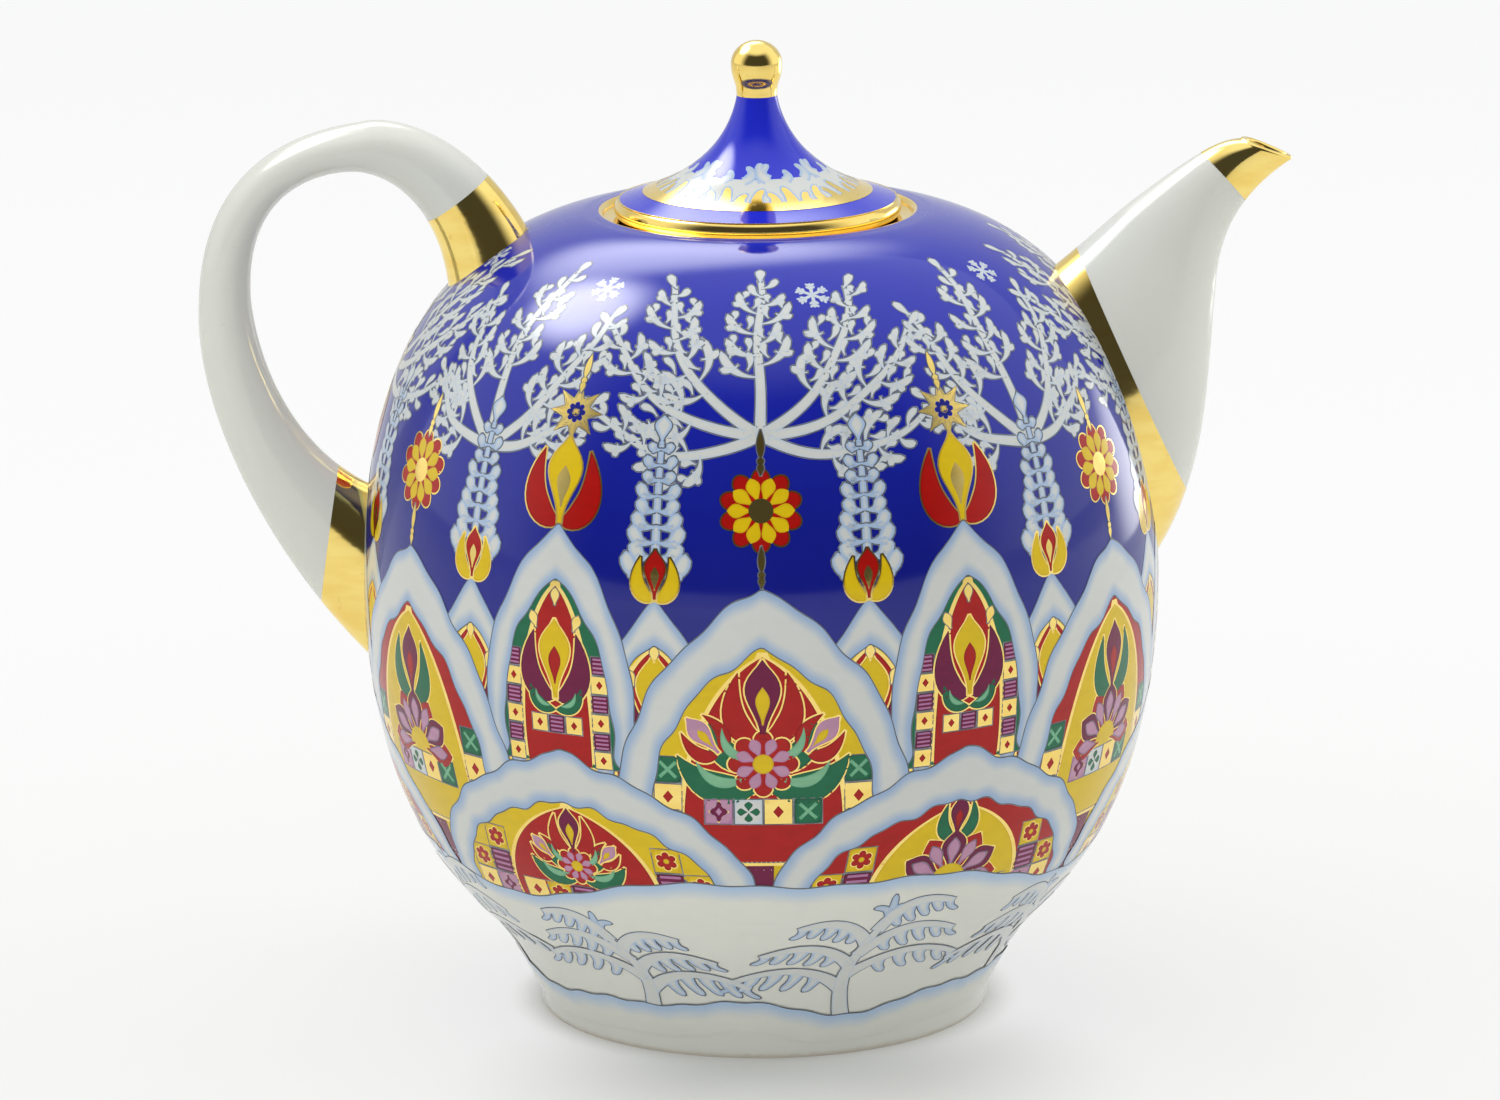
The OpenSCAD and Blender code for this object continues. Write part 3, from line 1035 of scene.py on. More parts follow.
def frost_frond(length: float, bend: float, reach: float) -> Motif:
    """A frost frond: a bowed stem with forked comma strokes on both sides and a drop at its tip.

    Args:
        length: height of the stem.
        bend: how far it bows.
        reach: length of the longest stroke.

    Returns:
        The touches.
    """
    steps, pairs, bare = 30, 5, 0.3
    t = np.linspace(0, 1, steps + 1)
    stem = spine((0, 0), (0, length), bend, steps)
    stem = stem + np.stack([0.9 * np.sin(np.linspace(0, 9.0, steps + 1)) * t, np.zeros(steps + 1)], 1)
    strokes = [brush(stem, 2.6 * (1 - 0.45 * t))]
    for i in range(2 * pairs):
        side = -1 if i % 2 else 1
        share = bare + (0.96 - bare) * (i + 0.5) / (2 * pairs)
        k = int(round(share * steps))
        ahead = stem[min(steps, k + 1)] - stem[max(0, k - 1)]
        size = reach * (0.42 + 0.66 * math.sin(math.pi * share**0.8))
        size *= 0.85 + 0.15 * math.cos(5.1 * i + 9 * bend)
        way = math.atan2(ahead[1], ahead[0]) + side * (0.98 - 0.3 * share + 0.16 * math.sin(3.7 * i))
        strokes += forked(stem[k], way, size, side, 2.3 - 0.5 * share)
    end = stem[-1]
    strokes.append(comma(end - (0, 1), end + (bend * 6, 4.2), 2.3, bend * 0.5, 8))
    return [Touch(Paint.FROST, stroke) for stroke in strokes]


def forked(root: Array, way: float, size: float, side: int, width: float) -> list[Shape]:
    """A comma stroke with up to three twigs.

    Args:
        root: its start.
        way: its heading, in radians.
        size: its length.
        side: 1 to the left of its stem and -1 to the right.
        width: the stroke's width.

    Returns:
        The strokes.
    """
    tip = root + size * np.array([math.cos(way), math.sin(way)])
    across = np.array([-math.sin(way), math.cos(way)])
    strokes = [comma(root, tip, width, 0.2 * side, 10)]
    for share, turn, part in ((0.3, 0.95, 0.42), (0.52, -0.9, 0.4), (0.76, 0.85, 0.28)):
        if size * part < 2.3:
            continue
        fork = way - side * turn
        start = root + share * (tip - root) + side * size * 0.8 * share * (1 - share) * 0.2 * across
        twig = start + part * size * np.array([math.cos(fork), math.sin(fork)])
        strokes.append(comma(start, twig, 1.75, -0.16 * side * math.copysign(1, turn), 7))
    return strokes


def frost_plume(height: float) -> Motif:
    """An upright plume: close pairs of curled, forked leaflets on a stem, a bead on top.

    Args:
        height: from its foot to the stem's end.

    Returns:
        The touches.
    """
    leaflets = []
    for share in np.linspace(0, 1, 9):
        y = height * (0.03 + 0.8 * share)
        size = height * 0.175 * (1.0 - 0.62 * share) * (1 + 0.12 * math.cos(20.8 * share))
        tip, fork = (size * 1.05, y + size * 0.5), (size * 0.45, y - size * 0.1)
        leaflets.append(comma((0, y - size * 0.2), tip, 3.9 - 1.7 * share, -0.3, 10))
        leaflets.append(comma(fork, (size * 0.98, y - size * 0.22), 2.3 - 0.7 * share, -0.2, 8))
    stem = ribbon(spine((0, -3), (0, height * 0.92), 0, 16), 2.4, 0.5)
    bead = petal((0, height * 0.86), (0, height * 1.05), 4.0, 1.0)
    return both([Touch(Paint.ICE, s) for s in leaflets]) + [Touch(Paint.ICE, s) for s in (stem, bead)]


def drift_sprig(height: float, spread: float) -> Motif:
    """A sprig with arching arms, drawn in grey line; its hanging leaflets are shaded blue.

    Args:
        height: from its foot to its tip.
        spread: from the end of one arm to the end of the other.

    Returns:
        The touches.
    """
    stem = spine((0, 0), (0.08 * spread, height * 0.86), 0.1, 24)
    arms = [brush(stem, np.linspace(4.2, 1.8, 25))]
    leaflets = []
    for i in range(3):
        for side in (-1, 1):
            root = stem[6 + 6 * i + (3 if side > 0 else 0)]
            reach = spread * (0.5 - 0.09 * i) * (1 if side > 0 else 0.92)
            arm = spine(root, root + reach * np.array([side, 0.1 + 0.14 * i]), 0.25 * side, 22)
            arms.append(brush(arm, np.linspace(3.8, 1.9, 23)))
            leaflets.append(finger(arm[-2], arm[-1] + (1.6 * side, -3.2), 2.3, -0.2 * side))
            for k in range(4):
                start, drop = arm[6 + 4 * k], 8.8 - 1.3 * abs(k - 1.4) - 1.0 * i
                tip = start + drop * np.array([0.34 * side, -0.94])
                leaflets.append(finger(start, tip, 3.7, -0.12 * side))
    top = stem[-1]
    for side in (-1, 1):
        leaflets.append(finger(top, top + (4.6 * side, height * 0.08), 2.6, 0.25 * side))
    leaflets.append(finger(top - (0, 1), top + (0.6, height * 0.17), 2.8))
    lines = [Touch(Paint.INK, shape.grown(0.3), 0, None) for shape in arms + leaflets]
    fills = [Touch(Paint.ICE, shape, 1, None) for shape in leaflets]
    return lines + fills + [Touch(Paint.FROST, shape, 2, None) for shape in arms]


def snow_star(radius: float) -> Motif:
    """A six-armed frost star with side strokes.

    Args:
        radius: length of an arm.

    Returns:
        The touches.
    """
    touches = []
    for k in range(6):
        arm = [Touch(Paint.FROST, ribbon(spine((0, 0), (0, radius), 0, 4), 0.9), 2, None)]
        for t in (0.5, 0.74):
            twig = spine((0, radius * t), (radius * 0.26, radius * (t + 0.22)), 0, 3)
            arm += both([Touch(Paint.FROST, ribbon(twig, 0.75), 2, None)])
        touches += placed(arm, turn=60 * k)
    return touches


def gold_star(radius: float) -> Motif:
    """An eight-rayed gold star with a dark heart.

    Args:
        radius: length of a ray.

    Returns:
        The touches.
    """
    return [
        Touch(Paint.GILT, star(8, radius, radius * 0.5), 3, Paint.INK, 0.3),
        Touch(Paint.BLUE, rosette(8, radius * 0.36, 0.3), 4, None),
        Touch(Paint.GILT, disc(radius * 0.14), 4, None),
    ]


def tulip(height: float, heart: Paint, side: Paint, core: Paint) -> Motif:
    """A tulip: three pointed petals with a drop in the middle one.

    Args:
        height: from its foot to the middle petal's point.
        heart: the middle petal's colour.
        side: the side petals' colour.
        core: the drop's colour.

    Returns:
        The touches.
    """
    t = np.linspace(0, 1, 15)
    curve = bezier(height * np.array([[0, 0], [0.34, 0.04], [0.46, 0.34], [0.3, 0.84]]), t)
    outer = brush(curve, 0.3 * height * (np.sin(math.pi * t**0.8) ** 0.8 + 0.03))
    middle = petal((0, 0), (0, height), 0.42 * height, 1.0)
    drop = petal((0, 0.18 * height), (0, 0.66 * height), 0.17 * height, 0.6)
    petals = both([Touch(side, outer, 2, Paint.GILT, 0.4)]) + [Touch(heart, middle, 3, Paint.GILT, 0.4)]
    return petals + [Touch(core, drop, 4, None)]


def wheel(radius: float, rim: Paint, inner: Paint, heart: Paint, lobes: int = 8) -> Motif:
    """A round flower of petals round a heart.

    Args:
        radius: its reach.
        rim: the scalloped disc's colour.
        inner: the petals' colour.
        heart: the heart's colour.
        lobes: how many petals it has.

    Returns:
        The touches.
    """
    touches = [Touch(rim, rosette(lobes, radius, 0.3), 2, Paint.GILT, 0.4)]
    slim = petal((0, radius * 0.24), (0, radius * 0.82), radius * 0.34, 0.3, 8)
    for k in range(lobes):
        touches += placed([Touch(inner, slim, 3, None)], turn=360 * (k + 0.5) / lobes)
    return touches + [Touch(heart, disc(radius * 0.3), 4, None)]


def leaf_pair(length: float, rise: float) -> Motif:
    """Two curved green leaves that spread from one foot, each with a paler vein.

    Args:
        length: length of a leaf.
        rise: its slope, in radians.

    Returns:
        The touches.
    """
    tip = (length * math.cos(rise), length * math.sin(rise))
    vein = leaf((0.2 * tip[0], 0.16 * tip[1]), (0.78 * tip[0], 0.8 * tip[1]), length * 0.13, -0.24)
    blade = leaf((0, 0), tip, length * 0.36, -0.22)
    return both([Touch(Paint.GREEN, blade, 2, Paint.GILT, 0.35), Touch(Paint.MINT, vein, 3, None)])


def posy(size: float, warm: bool) -> Motif:
    """A tall bouquet for an arch: a wheel flower at its foot, leaves, and a crown of tulips.

    Args:
        size: height of the bouquet.
        warm: True for red tulips on plum, False for plum tulips on red.

    Returns:
        The touches.
    """
    first, second = (Paint.RED, Paint.PLUM) if warm else (Paint.PLUM, Paint.RED)
    touches = placed(leaf_pair(size * 0.62, 0.32), y=size * 0.08)
    touches += placed(leaf_pair(size * 0.5, 0.78), y=size * 0.2)
    side = placed(tulip(size * 0.33, Paint.LILAC, second, Paint.YELLOW), x=size * 0.3, y=size * 0.3, turn=-42)
    touches += both(side)
    touches += placed(tulip(size * 0.56, first, second, Paint.YELLOW), y=size * 0.4)
    return touches + raised(placed(wheel(size * 0.24, second, Paint.LILAC, Paint.YELLOW), y=size * 0.22), 1)


def gold_finial(height: float) -> Motif:
    """A slim gold spindle on a bead and a foot.

    Args:
        height: from the foot to the tip.

    Returns:
        The touches.
    """
    spindle = leaf((0, height * 0.3), (0, height), height * 0.17, 0)
    bead = disc(height * 0.08).moved(y=height * 0.24)
    foot = petal((0, -1), (0, height * 0.2), height * 0.15)
    return [Touch(Paint.GILT, shape, 3, Paint.INK, 0.3) for shape in (spindle, bead, foot)]


class Tile(Enum):
    """The small square tiles of the frieze, with the ground of each."""

    ROSE = Paint.YELLOW
    DIAMOND = Paint.LILAC
    CLOVER = Paint.FROST
    COIN = Paint.GILT
    LADDER = Paint.PLUM
    CROSS = Paint.GREEN


def tile(kind: Tile, size: float) -> Motif:
    """One square tile with its foot at the origin.

    Args:
        kind: its pattern.
        size: its width and height, with the gap to the next one.

    Returns:
        The touches.
    """
    side, h = size - 0.6, size / 2
    mark: Motif = []
    if kind is Tile.ROSE:
        mark.append(Touch(Paint.RED, rosette(6, h * 0.72, 0.35), 2, Paint.GILT, 0.3))
        mark.append(Touch(Paint.YELLOW, disc(h * 0.2), 3, None))
    elif kind is Tile.DIAMOND:
        mark.append(Touch(Paint.PLUM, lozenge(size * 0.62, size * 0.8), 2, Paint.GILT, 0.3))
        mark.append(Touch(Paint.LILAC, lozenge(size * 0.22, size * 0.3), 3, None))
    elif kind is Tile.CLOVER:
        lobe = Touch(Paint.GREEN, petal((0, h * 0.1), (0, h * 0.78), h * 0.55, 0.5, 8), 2, None)
        for k in range(4):
            mark += placed([lobe], turn=90 * k)
    elif kind is Tile.COIN:
        mark.append(Touch(Paint.RED, lozenge(size * 0.36, size * 0.46), 2, None))
    elif kind is Tile.LADDER:
        rung = Touch(Paint.LILAC, block(-h * 0.7, h * 0.7, -size * 0.05, size * 0.05), 2, None)
        for k in range(4):
            mark += placed([rung], y=(k - 1.5) * side / 4)
    else:
        bar = Touch(Paint.MINT, block(-h * 0.12, h * 0.12, -h * 0.8, h * 0.8), 2, None)
        for turn in (45, 135):
            mark += placed([bar], turn=turn)
    ground = Touch(kind.value, block(-side / 2, side / 2, 0, side), 1, Paint.INK, 0.3)
    return [ground] + placed(mark, y=side / 2)


def tile_run(kinds: tuple[Tile, ...], x: float, low: float, high: float, size: float) -> Motif:
    """A pillar of tiles, one above the other.

    Args:
        kinds: their patterns in turn.
        x: the pillar's middle.
        low: its foot.
        high: its top.
        size: size of one tile.

    Returns:
        The touches.
    """
    out = []
    for k in range(max(1, int(round((high - low) / size)))):
        out += placed(tile(kinds[k % len(kinds)], size), x=x, y=low + k * size)
    return out


def half_wheel(radius: float) -> Motif:
    """Half a flower that rises from its foot: broad red and plum petals, slim lilac ones, a yellow heart.

    Args:
        radius: its reach.

    Returns:
        The touches.
    """
    wide = petal((0, radius * 0.2), (0, radius), radius * 0.46, 0.5)
    slim = petal((0, radius * 0.34), (0, radius * 0.84), radius * 0.22, 0.4, 9)
    out = []
    for k in range(7):
        pair = [Touch(Paint.PLUM if k % 2 else Paint.RED, wide, 2 + k % 2, Paint.GILT, 0.35)]
        pair.append(Touch(Paint.LILAC, slim, 4, Paint.INK, 0.25))
        out += placed(pair, turn=-90 + 30 * k)
    a = np.linspace(0, math.pi, 17)
    rim = np.stack([np.cos(a), np.sin(a)], 1) * radius * 0.33
    return out + [Touch(Paint.YELLOW, Shape(np.zeros_like(rim), rim, True), 4, None)]


class Filling(Enum):
    """What fills the field of an arch."""

    POSY = 0
    WHEEL = 1
    TULIP = 2


@dataclass(frozen=True)
class Gable:
    """A keel arch with a thick white border round a painted field, in millimetres.

    Half is half its width; top and side are the border's thickness there, lobes its swellings.
    """

    field_paint: Paint
    panel_paint: Paint
    filling: Filling
    tiles: tuple[Tile, ...]
    half: float
    height: float
    top: float
    side: float
    lobes: int
    tile_size: float
    pillars: int
    foot: float

    @property
    def reach(self) -> float:
        """Half the width inside the border."""
        return self.half - self.side

    @property
    def rise(self) -> float:
        """The height inside the border."""
        return self.height - self.top

    @property
    def clear(self) -> float:
        """Half the width between the pillars."""
        return self.reach - self.tile_size * self.pillars - 1.2

    def border(self) -> Shape:
        """The white border: thick at the top, slimmer down the sides, with swelling edges.

        Returns:
            Its shape.
        """
        count, end = 130, 0.045
        outer = resample(arch_line(self.half, self.height, 0.2), count)
        inner = resample(arch_line(self.reach, self.rise, 0.12), count)
        t = np.linspace(0, 1, count)
        middle, across = (outer + inner) / 2, (outer - inner) / 2
        wave = 1 + 0.09 * np.sin(FULL * self.lobes * t + 1.2) + 0.06 * np.sin(FULL * 1.7 * self.lobes * t)
        near_end = np.clip(end - np.minimum(t, 1 - t), 0, end) / end
        grow = (wave * np.sqrt(np.clip(1 - near_end**2, 0.01, 1)))[:, None]
        return Shape(middle - across * grow, middle + across * grow)

    def tiling(self) -> Motif:
        """The pillars of tiles, the panel between them and the sill of tiles below it.

        Returns:
            The touches.
        """
        out, size, tiles = [], self.tile_size, self.tiles
        for k in range(self.pillars):
            x = self.reach - size * (k + 0.5) - 0.4
            high = self.rise * (1 - (x / self.reach) ** 2) ** 0.5 * 0.97 + 1.5
            out += both(tile_run(tiles[:: -1 if k % 2 else 1], x, 0, high, size))
        panel = infill(arch_line(self.clear, self.rise - 1.8, 0.1))
        out.append(Touch(self.panel_paint, panel, 1, Paint.GILT, 1.2))
        count = int((2 * self.clear - 2) // size)
        for k in range(count):
            x = (k - (count - 1) / 2) * size
            out += raised(placed(tile(tiles[k % len(tiles)], size), x=x, y=self.foot - size - 1.0), 1)
        return out

    def bouquet(self) -> Motif:
        """The flowers on the panel, from its sill upwards.

        Returns:
            The touches.
        """
        tall = self.rise - self.foot
        if self.filling is Filling.WHEEL:
            radius = min(self.clear * 0.78, tall * 0.62)
            bloom = tulip(tall * 0.5, Paint.PLUM, Paint.GREEN, Paint.RED)
            return half_wheel(radius) + placed(bloom, y=radius * 0.86)
        if self.filling is Filling.POSY:
            return posy(tall - 1, self.panel_paint is not Paint.RED)
        bloom = tulip(min(tall * 0.78, 2.2 * self.clear), Paint.YELLOW, Paint.PLUM, Paint.RED)
        out = leaf_pair(self.clear * 1.05, 0.7) + placed(bloom, y=3)
        for k in (-1, 0, 1):
            drop = petal((0, 0), (0, 4.2), 2.2, 0.4, 8)
            drop = drop.moved(5.2 * k, self.rise * 0.86 - 6 * abs(k) - self.foot, -20 * k)
            out.append(Touch(Paint.GILT, drop, 3, Paint.INK, 0.25))
        return out

    def touches(self) -> Motif:
        """Paints the whole arch: its field, tiles, flowers and border.

        Returns:
            The touches.
        """
        ground = infill(arch_line(self.reach + 1.2, self.rise + 1.4, 0.12))
        out = [Touch(self.field_paint, ground, 0)] + self.tiling()
        return out + placed(self.bouquet(), y=self.foot) + [Touch(Paint.SNOW, self.border(), 4)]


# -------- the pot


@dataclass
class PotBody:
    """The pot: foot ring, belly, shoulder, sunk mouth with its ledge, and the inside.

    Sizes are in millimetres.
    """

    foot_r: float = 57.0
    foot_top: float = 3.8
    foot_land: float = 6.0
    foot_hollow: float = 6.0
    haunch_r: float = 82.2
    haunch_z: float = 40.0
    haunch_slope: float = 54.5
    belly_r: float = 100.3
    belly_z: float = 109.5
    shoulder_z: float = 205.0
    mouth_r: float = 39.0
    ledge_w: float = 6.5
    seat_drop: float = 2.8
    throat_len: float = 6.0
    wall: float = 5.0
    skin_set: float = 0.16
    sides: int = 320
    hole_r: float = 2.2
    hole_tilt: float = 20.0
    hole_pitch: float = 8.5
    strainer_w: float = 27.0
    strainer_h: float = 50.0
    floor_z: float = 12.0
    foot_bevel: float = 0.8
    blue_rows: int = 7

    def spans(self) -> list[Array]:
        """The three spans of the outside, from the foot to the crest of the shoulder.

        Returns:
            Four control points for each of flare, belly and shoulder.
        """
        slope = math.radians(self.haunch_slope)
        way = np.array([math.cos(slope), math.sin(slope)])
        haunch = np.array([self.haunch_r, self.haunch_z])
        foot = np.array([self.foot_r, self.foot_top])
        belly = np.array([self.belly_r, self.belly_z])
        low = [mix(self.foot_r, self.haunch_r, 0.506), mix(self.foot_top, self.haunch_z, 0.747)]
        flare_end = haunch - 0.5 * np.linalg.norm(haunch - foot) * way
        belly_start = haunch + 0.36 * np.linalg.norm(belly - haunch) * way
        under = [self.belly_r, mix(self.belly_z, self.haunch_z, 0.26)]
        over = [self.belly_r, mix(self.belly_z, self.shoulder_z, 0.876)]
        crown = 0.815 * self.mouth_r
        turn = [mix(crown, self.belly_r, 0.323), self.shoulder_z]
        return [
            np.array([foot, low, flare_end, haunch]),
            np.array([haunch, belly_start, under, belly]),
            np.array([belly, over, turn, [crown, self.shoulder_z]]),
        ]

    def outside(self, inset: float) -> Array:
        """The outside from the foot band's top to the roll into the mouth.

        Args:
            inset: how far it is set in from the solid's face.

        Returns:
            Radius and height at even steps.
        """
        flare, belly, shoulder = self.spans()
        t = np.linspace(0, 1, 400)
        line = np.vstack([bezier(flare, t), bezier(belly, t)[1:], bezier(shoulder, t)[1:]])
        line = line[(line[:, 0] > self.mouth_r + 4) | (line[:, 1] < self.belly_z)]
        return resample(line - inset * right_of(line), 150)

    def roll(self) -> Array:
        """The shoulder's roll down to the edge of the mouth.

        Returns:
            Radius and height of its points.
        """
        start = self.outside(self.skin_set)[-1]
        edge = np.array([self.mouth_r + 0.02, self.shoulder_z - 1.2])
        over = [mix(start[0], edge[0], 0.4), start[1]]
        control = np.array([start, over, [edge[0] + 0.6, edge[1] + 0.55], edge])
        return bezier(control, np.linspace(0, 1, 12))

    def skin(self) -> Outline:
        """The outline that is painted on."""
        return Outline(np.vstack([self.outside(self.skin_set), self.roll()[1:]]))

    def underside(self) -> Array:
        """The bottom and the foot ring, from the axis outwards.

        Returns:
            Radius and height of its points.
        """
        flat_r = self.foot_r - self.foot_bevel
        land = flat_r - self.foot_land
        rise = np.array([[land - self.foot_hollow, self.foot_hollow], [land, 0]])
        flat = np.array([[land, 0], [flat_r, 0]])
        bevel = [[self.foot_r - 0.2, self.foot_bevel]]
        return np.vstack([[[0.01, self.foot_hollow]], resample(rise, 5), resample(flat, 4)[1:], bevel])

    def mouth(self) -> Array:
        """The roll into the mouth, the sunk ledge and the throat.

        Returns:
            Radius and height of its points.
        """
        seat = self.shoulder_z - self.seat_drop
        edge, throat = self.mouth_r, self.mouth_r - self.ledge_w - 1
        side = [[edge - 0.5, seat + 0.9], [edge - 0.62, seat + 0.25], [edge - 1, seat]]
        ledge = [[throat + 0.6, seat], [throat + 0.15, seat - 0.2], [throat, seat - 0.6]]
        return np.vstack([self.roll()[1:], side, ledge, [[throat, seat - self.throat_len]]])

    def inside(self) -> Array:
        """The inner wall, from below the throat to the middle of the floor.

        Returns:
            Radius and height of its points.
        """
        flare, belly, shoulder = self.spans()
        high = bezier(shoulder, np.linspace(0.86, 0, 40))
        middle = bezier(belly, np.linspace(1, 0, 20))[1:]
        line = np.vstack([high, middle, bezier(flare, np.linspace(1, 0.62, 8))[1:]])
        line = line + self.wall * right_of(line)
        r, z = line[-1]
        curve = np.array([[r, z], [r - 5, z - 9], [r - 17, self.floor_z], [r - 24, self.floor_z]])
        return np.vstack([line[:-1], bezier(curve, np.linspace(0, 1, 10)), [[0.01, self.floor_z]]])

    def build(self) -> None:
        """Makes the body with its strainer holes and dresses it."""
        below, out, mouth = self.underside(), self.outside(self.skin_set), self.mouth()
        piece = turned("pot_body_skin", np.vstack([below, out, mouth, self.inside()]), self.sides)
        gold_from = len(below) + len(out) + self.blue_rows
        gold_to = len(below) + len(out) + len(mouth) - 1
        row = np.arange(len(piece.data.polygons)) // self.sides
        owner = (row >= gold_from).astype(np.int32) + (row >= gold_to).astype(np.int32)
        piece.data.polygons.foreach_set("material_index", owner)
        for finish in (CobaltGround(), Gilding("mouth_gilding"), Glaze("inner_glaze")):
            piece.data.materials.append(finish.material())
        self.pierce(piece)
        piece.data.set_sharp_from_angle(angle=math.radians(38))
        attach(piece, "pot")
        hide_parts("pot_body")
        LOG.info("%s: %d faces", piece.name, len(piece.data.polygons))

    def rods(self) -> Piece:
        """The rods that cut the strainer's holes, in staggered rows.

        Returns:
            All of them as one object.
        """
        outline = self.outside(0)
        outline = outline[outline[:, 1] > self.haunch_z]
        middle = mix(self.belly_z, self.shoulder_z, 0.46)
        turn = Euler((0, math.radians(90 - self.hole_tilt), 0)).to_matrix()
        flats = 16
        angles = np.arange(flats) * FULL / flats
        rim = [(self.hole_r * math.cos(a), self.hole_r * math.sin(a)) for a in angles]
        rod = [turn @ Vector((*spot, end)) for end in (-10, 10) for spot in rim]
        ends = [list(range(flats))[::-1], list(range(flats, 2 * flats))]
        shell = ends + quads(2, flats, True).tolist()
        rise = self.hole_pitch * math.sin(math.pi / 3)
        rows = int(self.strainer_h // self.hole_pitch // 2)
        points, faces = [], []
        for i in range(-rows, rows + 1):
            for j in range(-3, 4):
                y, z = self.hole_pitch * (j + i % 2 / 2), i * rise
                if (2 * y / self.strainer_w) ** 2 + (2 * z / self.strainer_h) ** 2 > 1:
                    continue
                r = np.interp(middle + z, outline[:, 1], outline[:, 0])
                faces += [[len(points) + k for k in face] for face in shell]
                points += [((r - 2.5 + p.x) * MM, (y + p.y) * MM, (middle + z + p.z) * MM) for p in rod]
        mesh = bpy.data.meshes.new("strainer_rods")
        mesh.from_pydata(points, [], faces)
        rods = bpy.data.objects.new("strainer_rods", mesh)
        bpy.context.scene.collection.objects.link(rods)
        return rods

    def pierce(self, piece: Piece) -> None:
        """Cuts the strainer's holes through the wall behind the spout.

        Args:
            piece: the pot's body.
        """
        rods = self.rods()
        cut = piece.modifiers.new("strainer", "BOOLEAN")
        cut.object, cut.operation, cut.solver = rods, "DIFFERENCE", "MANIFOLD"
        bpy.context.view_layer.update()
        made = bpy.data.meshes.new_from_object(piece.evaluated_get(bpy.context.evaluated_depsgraph_get()))
        piece.modifiers.clear()
        piece.data = made
        bpy.data.objects.remove(rods)


def turned(name: str, line: Array, sides: int) -> Piece:
    """A piece turned about the pot's axis from an outline.

    Args:
        name: the piece's name.
        line: radius and height in millimetres; an end near the axis is closed.
        sides: how many flats make the round.

    Returns:
        The piece.
    """
    angle = np.arange(sides) * FULL / sides
    c, s = np.cos(angle), np.sin(angle)
    rows = np.stack([line[:, :1] * c, line[:, :1] * s, np.repeat(line[:, 1:], sides, 1)], -1)
    faces = quads(len(line), sides, True).tolist()
    last = (len(line) - 1) * sides
    if line[0, 0] < 1:
        faces.append(list(range(sides))[::-1])
    if line[-1, 0] < 1:
        faces.append(list(range(last, last + sides)))
    return make_mesh(name, rows.reshape(-1, 3) * MM, faces)


# -------- tubes


@dataclass
class Tube:
    """A modelled tube on the pot: its skin by length, angle and depth below the solid's face.

    Sizes are in millimetres; each span along the tube has the length 1.
    """

    pot: PotBody
    sides: int = 96
    skin_set: float = 0.1
    gold_set: float = 0.04

    @property
    def angles(self) -> Array:
        """The angles round the tube."""
        return np.arange(self.sides) * FULL / self.sides

    def skin(self, s: Array, a: Array, depth: float) -> Array:
        """Points of the skin; each tube says how."""
        raise NotImplementedError

    def rings(self, start: Array, end: Array, depth: float, count: int) -> Array:
        """Rings of points between two closed lines round the tube.

        Args:
            start: length of the first line at each angle.
            end: length of the last line at each angle.
            depth: depth below the solid's face.
            count: how many rings.

        Returns:
            The points of each ring.
        """
        s = start + (end - start) * np.linspace(0, 1, count)[:, None]
        return self.skin(s.reshape(-1), np.tile(self.angles, count), depth).reshape(count, self.sides, 3)

    def loft(self, name: str, rings: Array) -> Piece:
        """A piece from its rings of points."""
        return make_mesh(name, rings.reshape(-1, 3) * MM, quads(len(rings), self.sides, True))

    def crossing(self, cuts: Callable[[Array], Array], low: float, high: float) -> Array:
        """Where a test of points turns from negative to positive, at each angle, by halving.

        Args:
            cuts: gives a signed number for points.
            low: length where the number is negative.
            high: length where it is positive.

        Returns:
            The lengths.
        """
        lo, hi = np.full(self.sides, float(low)), np.full(self.sides, float(high))
        for _ in range(30):
            middle = (lo + hi) / 2
            past = cuts(self.skin(middle, self.angles, self.skin_set)) > 0
            hi, lo = np.where(past, middle, hi), np.where(past, lo, middle)
        return (lo + hi) / 2

    def root(self, low: float, high: float) -> Array:
        """Where the tube comes out of the pot, half a millimetre below the pot's face.

        Args:
            low: length that lies in the pot.
            high: length that lies outside it.

        Returns:
            The length at each angle.
        """
        outline = self.pot.outside(0)

        def beyond(points: Array) -> Array:
            """How far points lie outside the sunk face."""
            r = np.interp(points[:, 2], outline[:, 1], outline[:, 0])
            return np.hypot(points[:, 0], points[:, 1]) - r + 0.5

        return self.crossing(beyond, low, high)


def line_test(first: Spot, second: Spot, bow: float = 0.0) -> Callable[[Array], Array]:
    """A test of which side of an upright sheet through two points something lies.

    Args:
        first: x and z of one point.
        second: x and z of the other.
        bow: how far the sheet bows at half width, as a share.

    Returns:
        A function of points that is positive to the left of first to second.
    """
    a, b = np.array(first), np.array(second)
    way = (b - a) / np.linalg.norm(b - a)

    def test(points: Array) -> Array:
        """The signed distance of points."""
        d = points[:, [0, 2]] - a
        return way[0] * d[:, 1] - way[1] * d[:, 0] + bow * np.abs(points[:, 1])

    return test


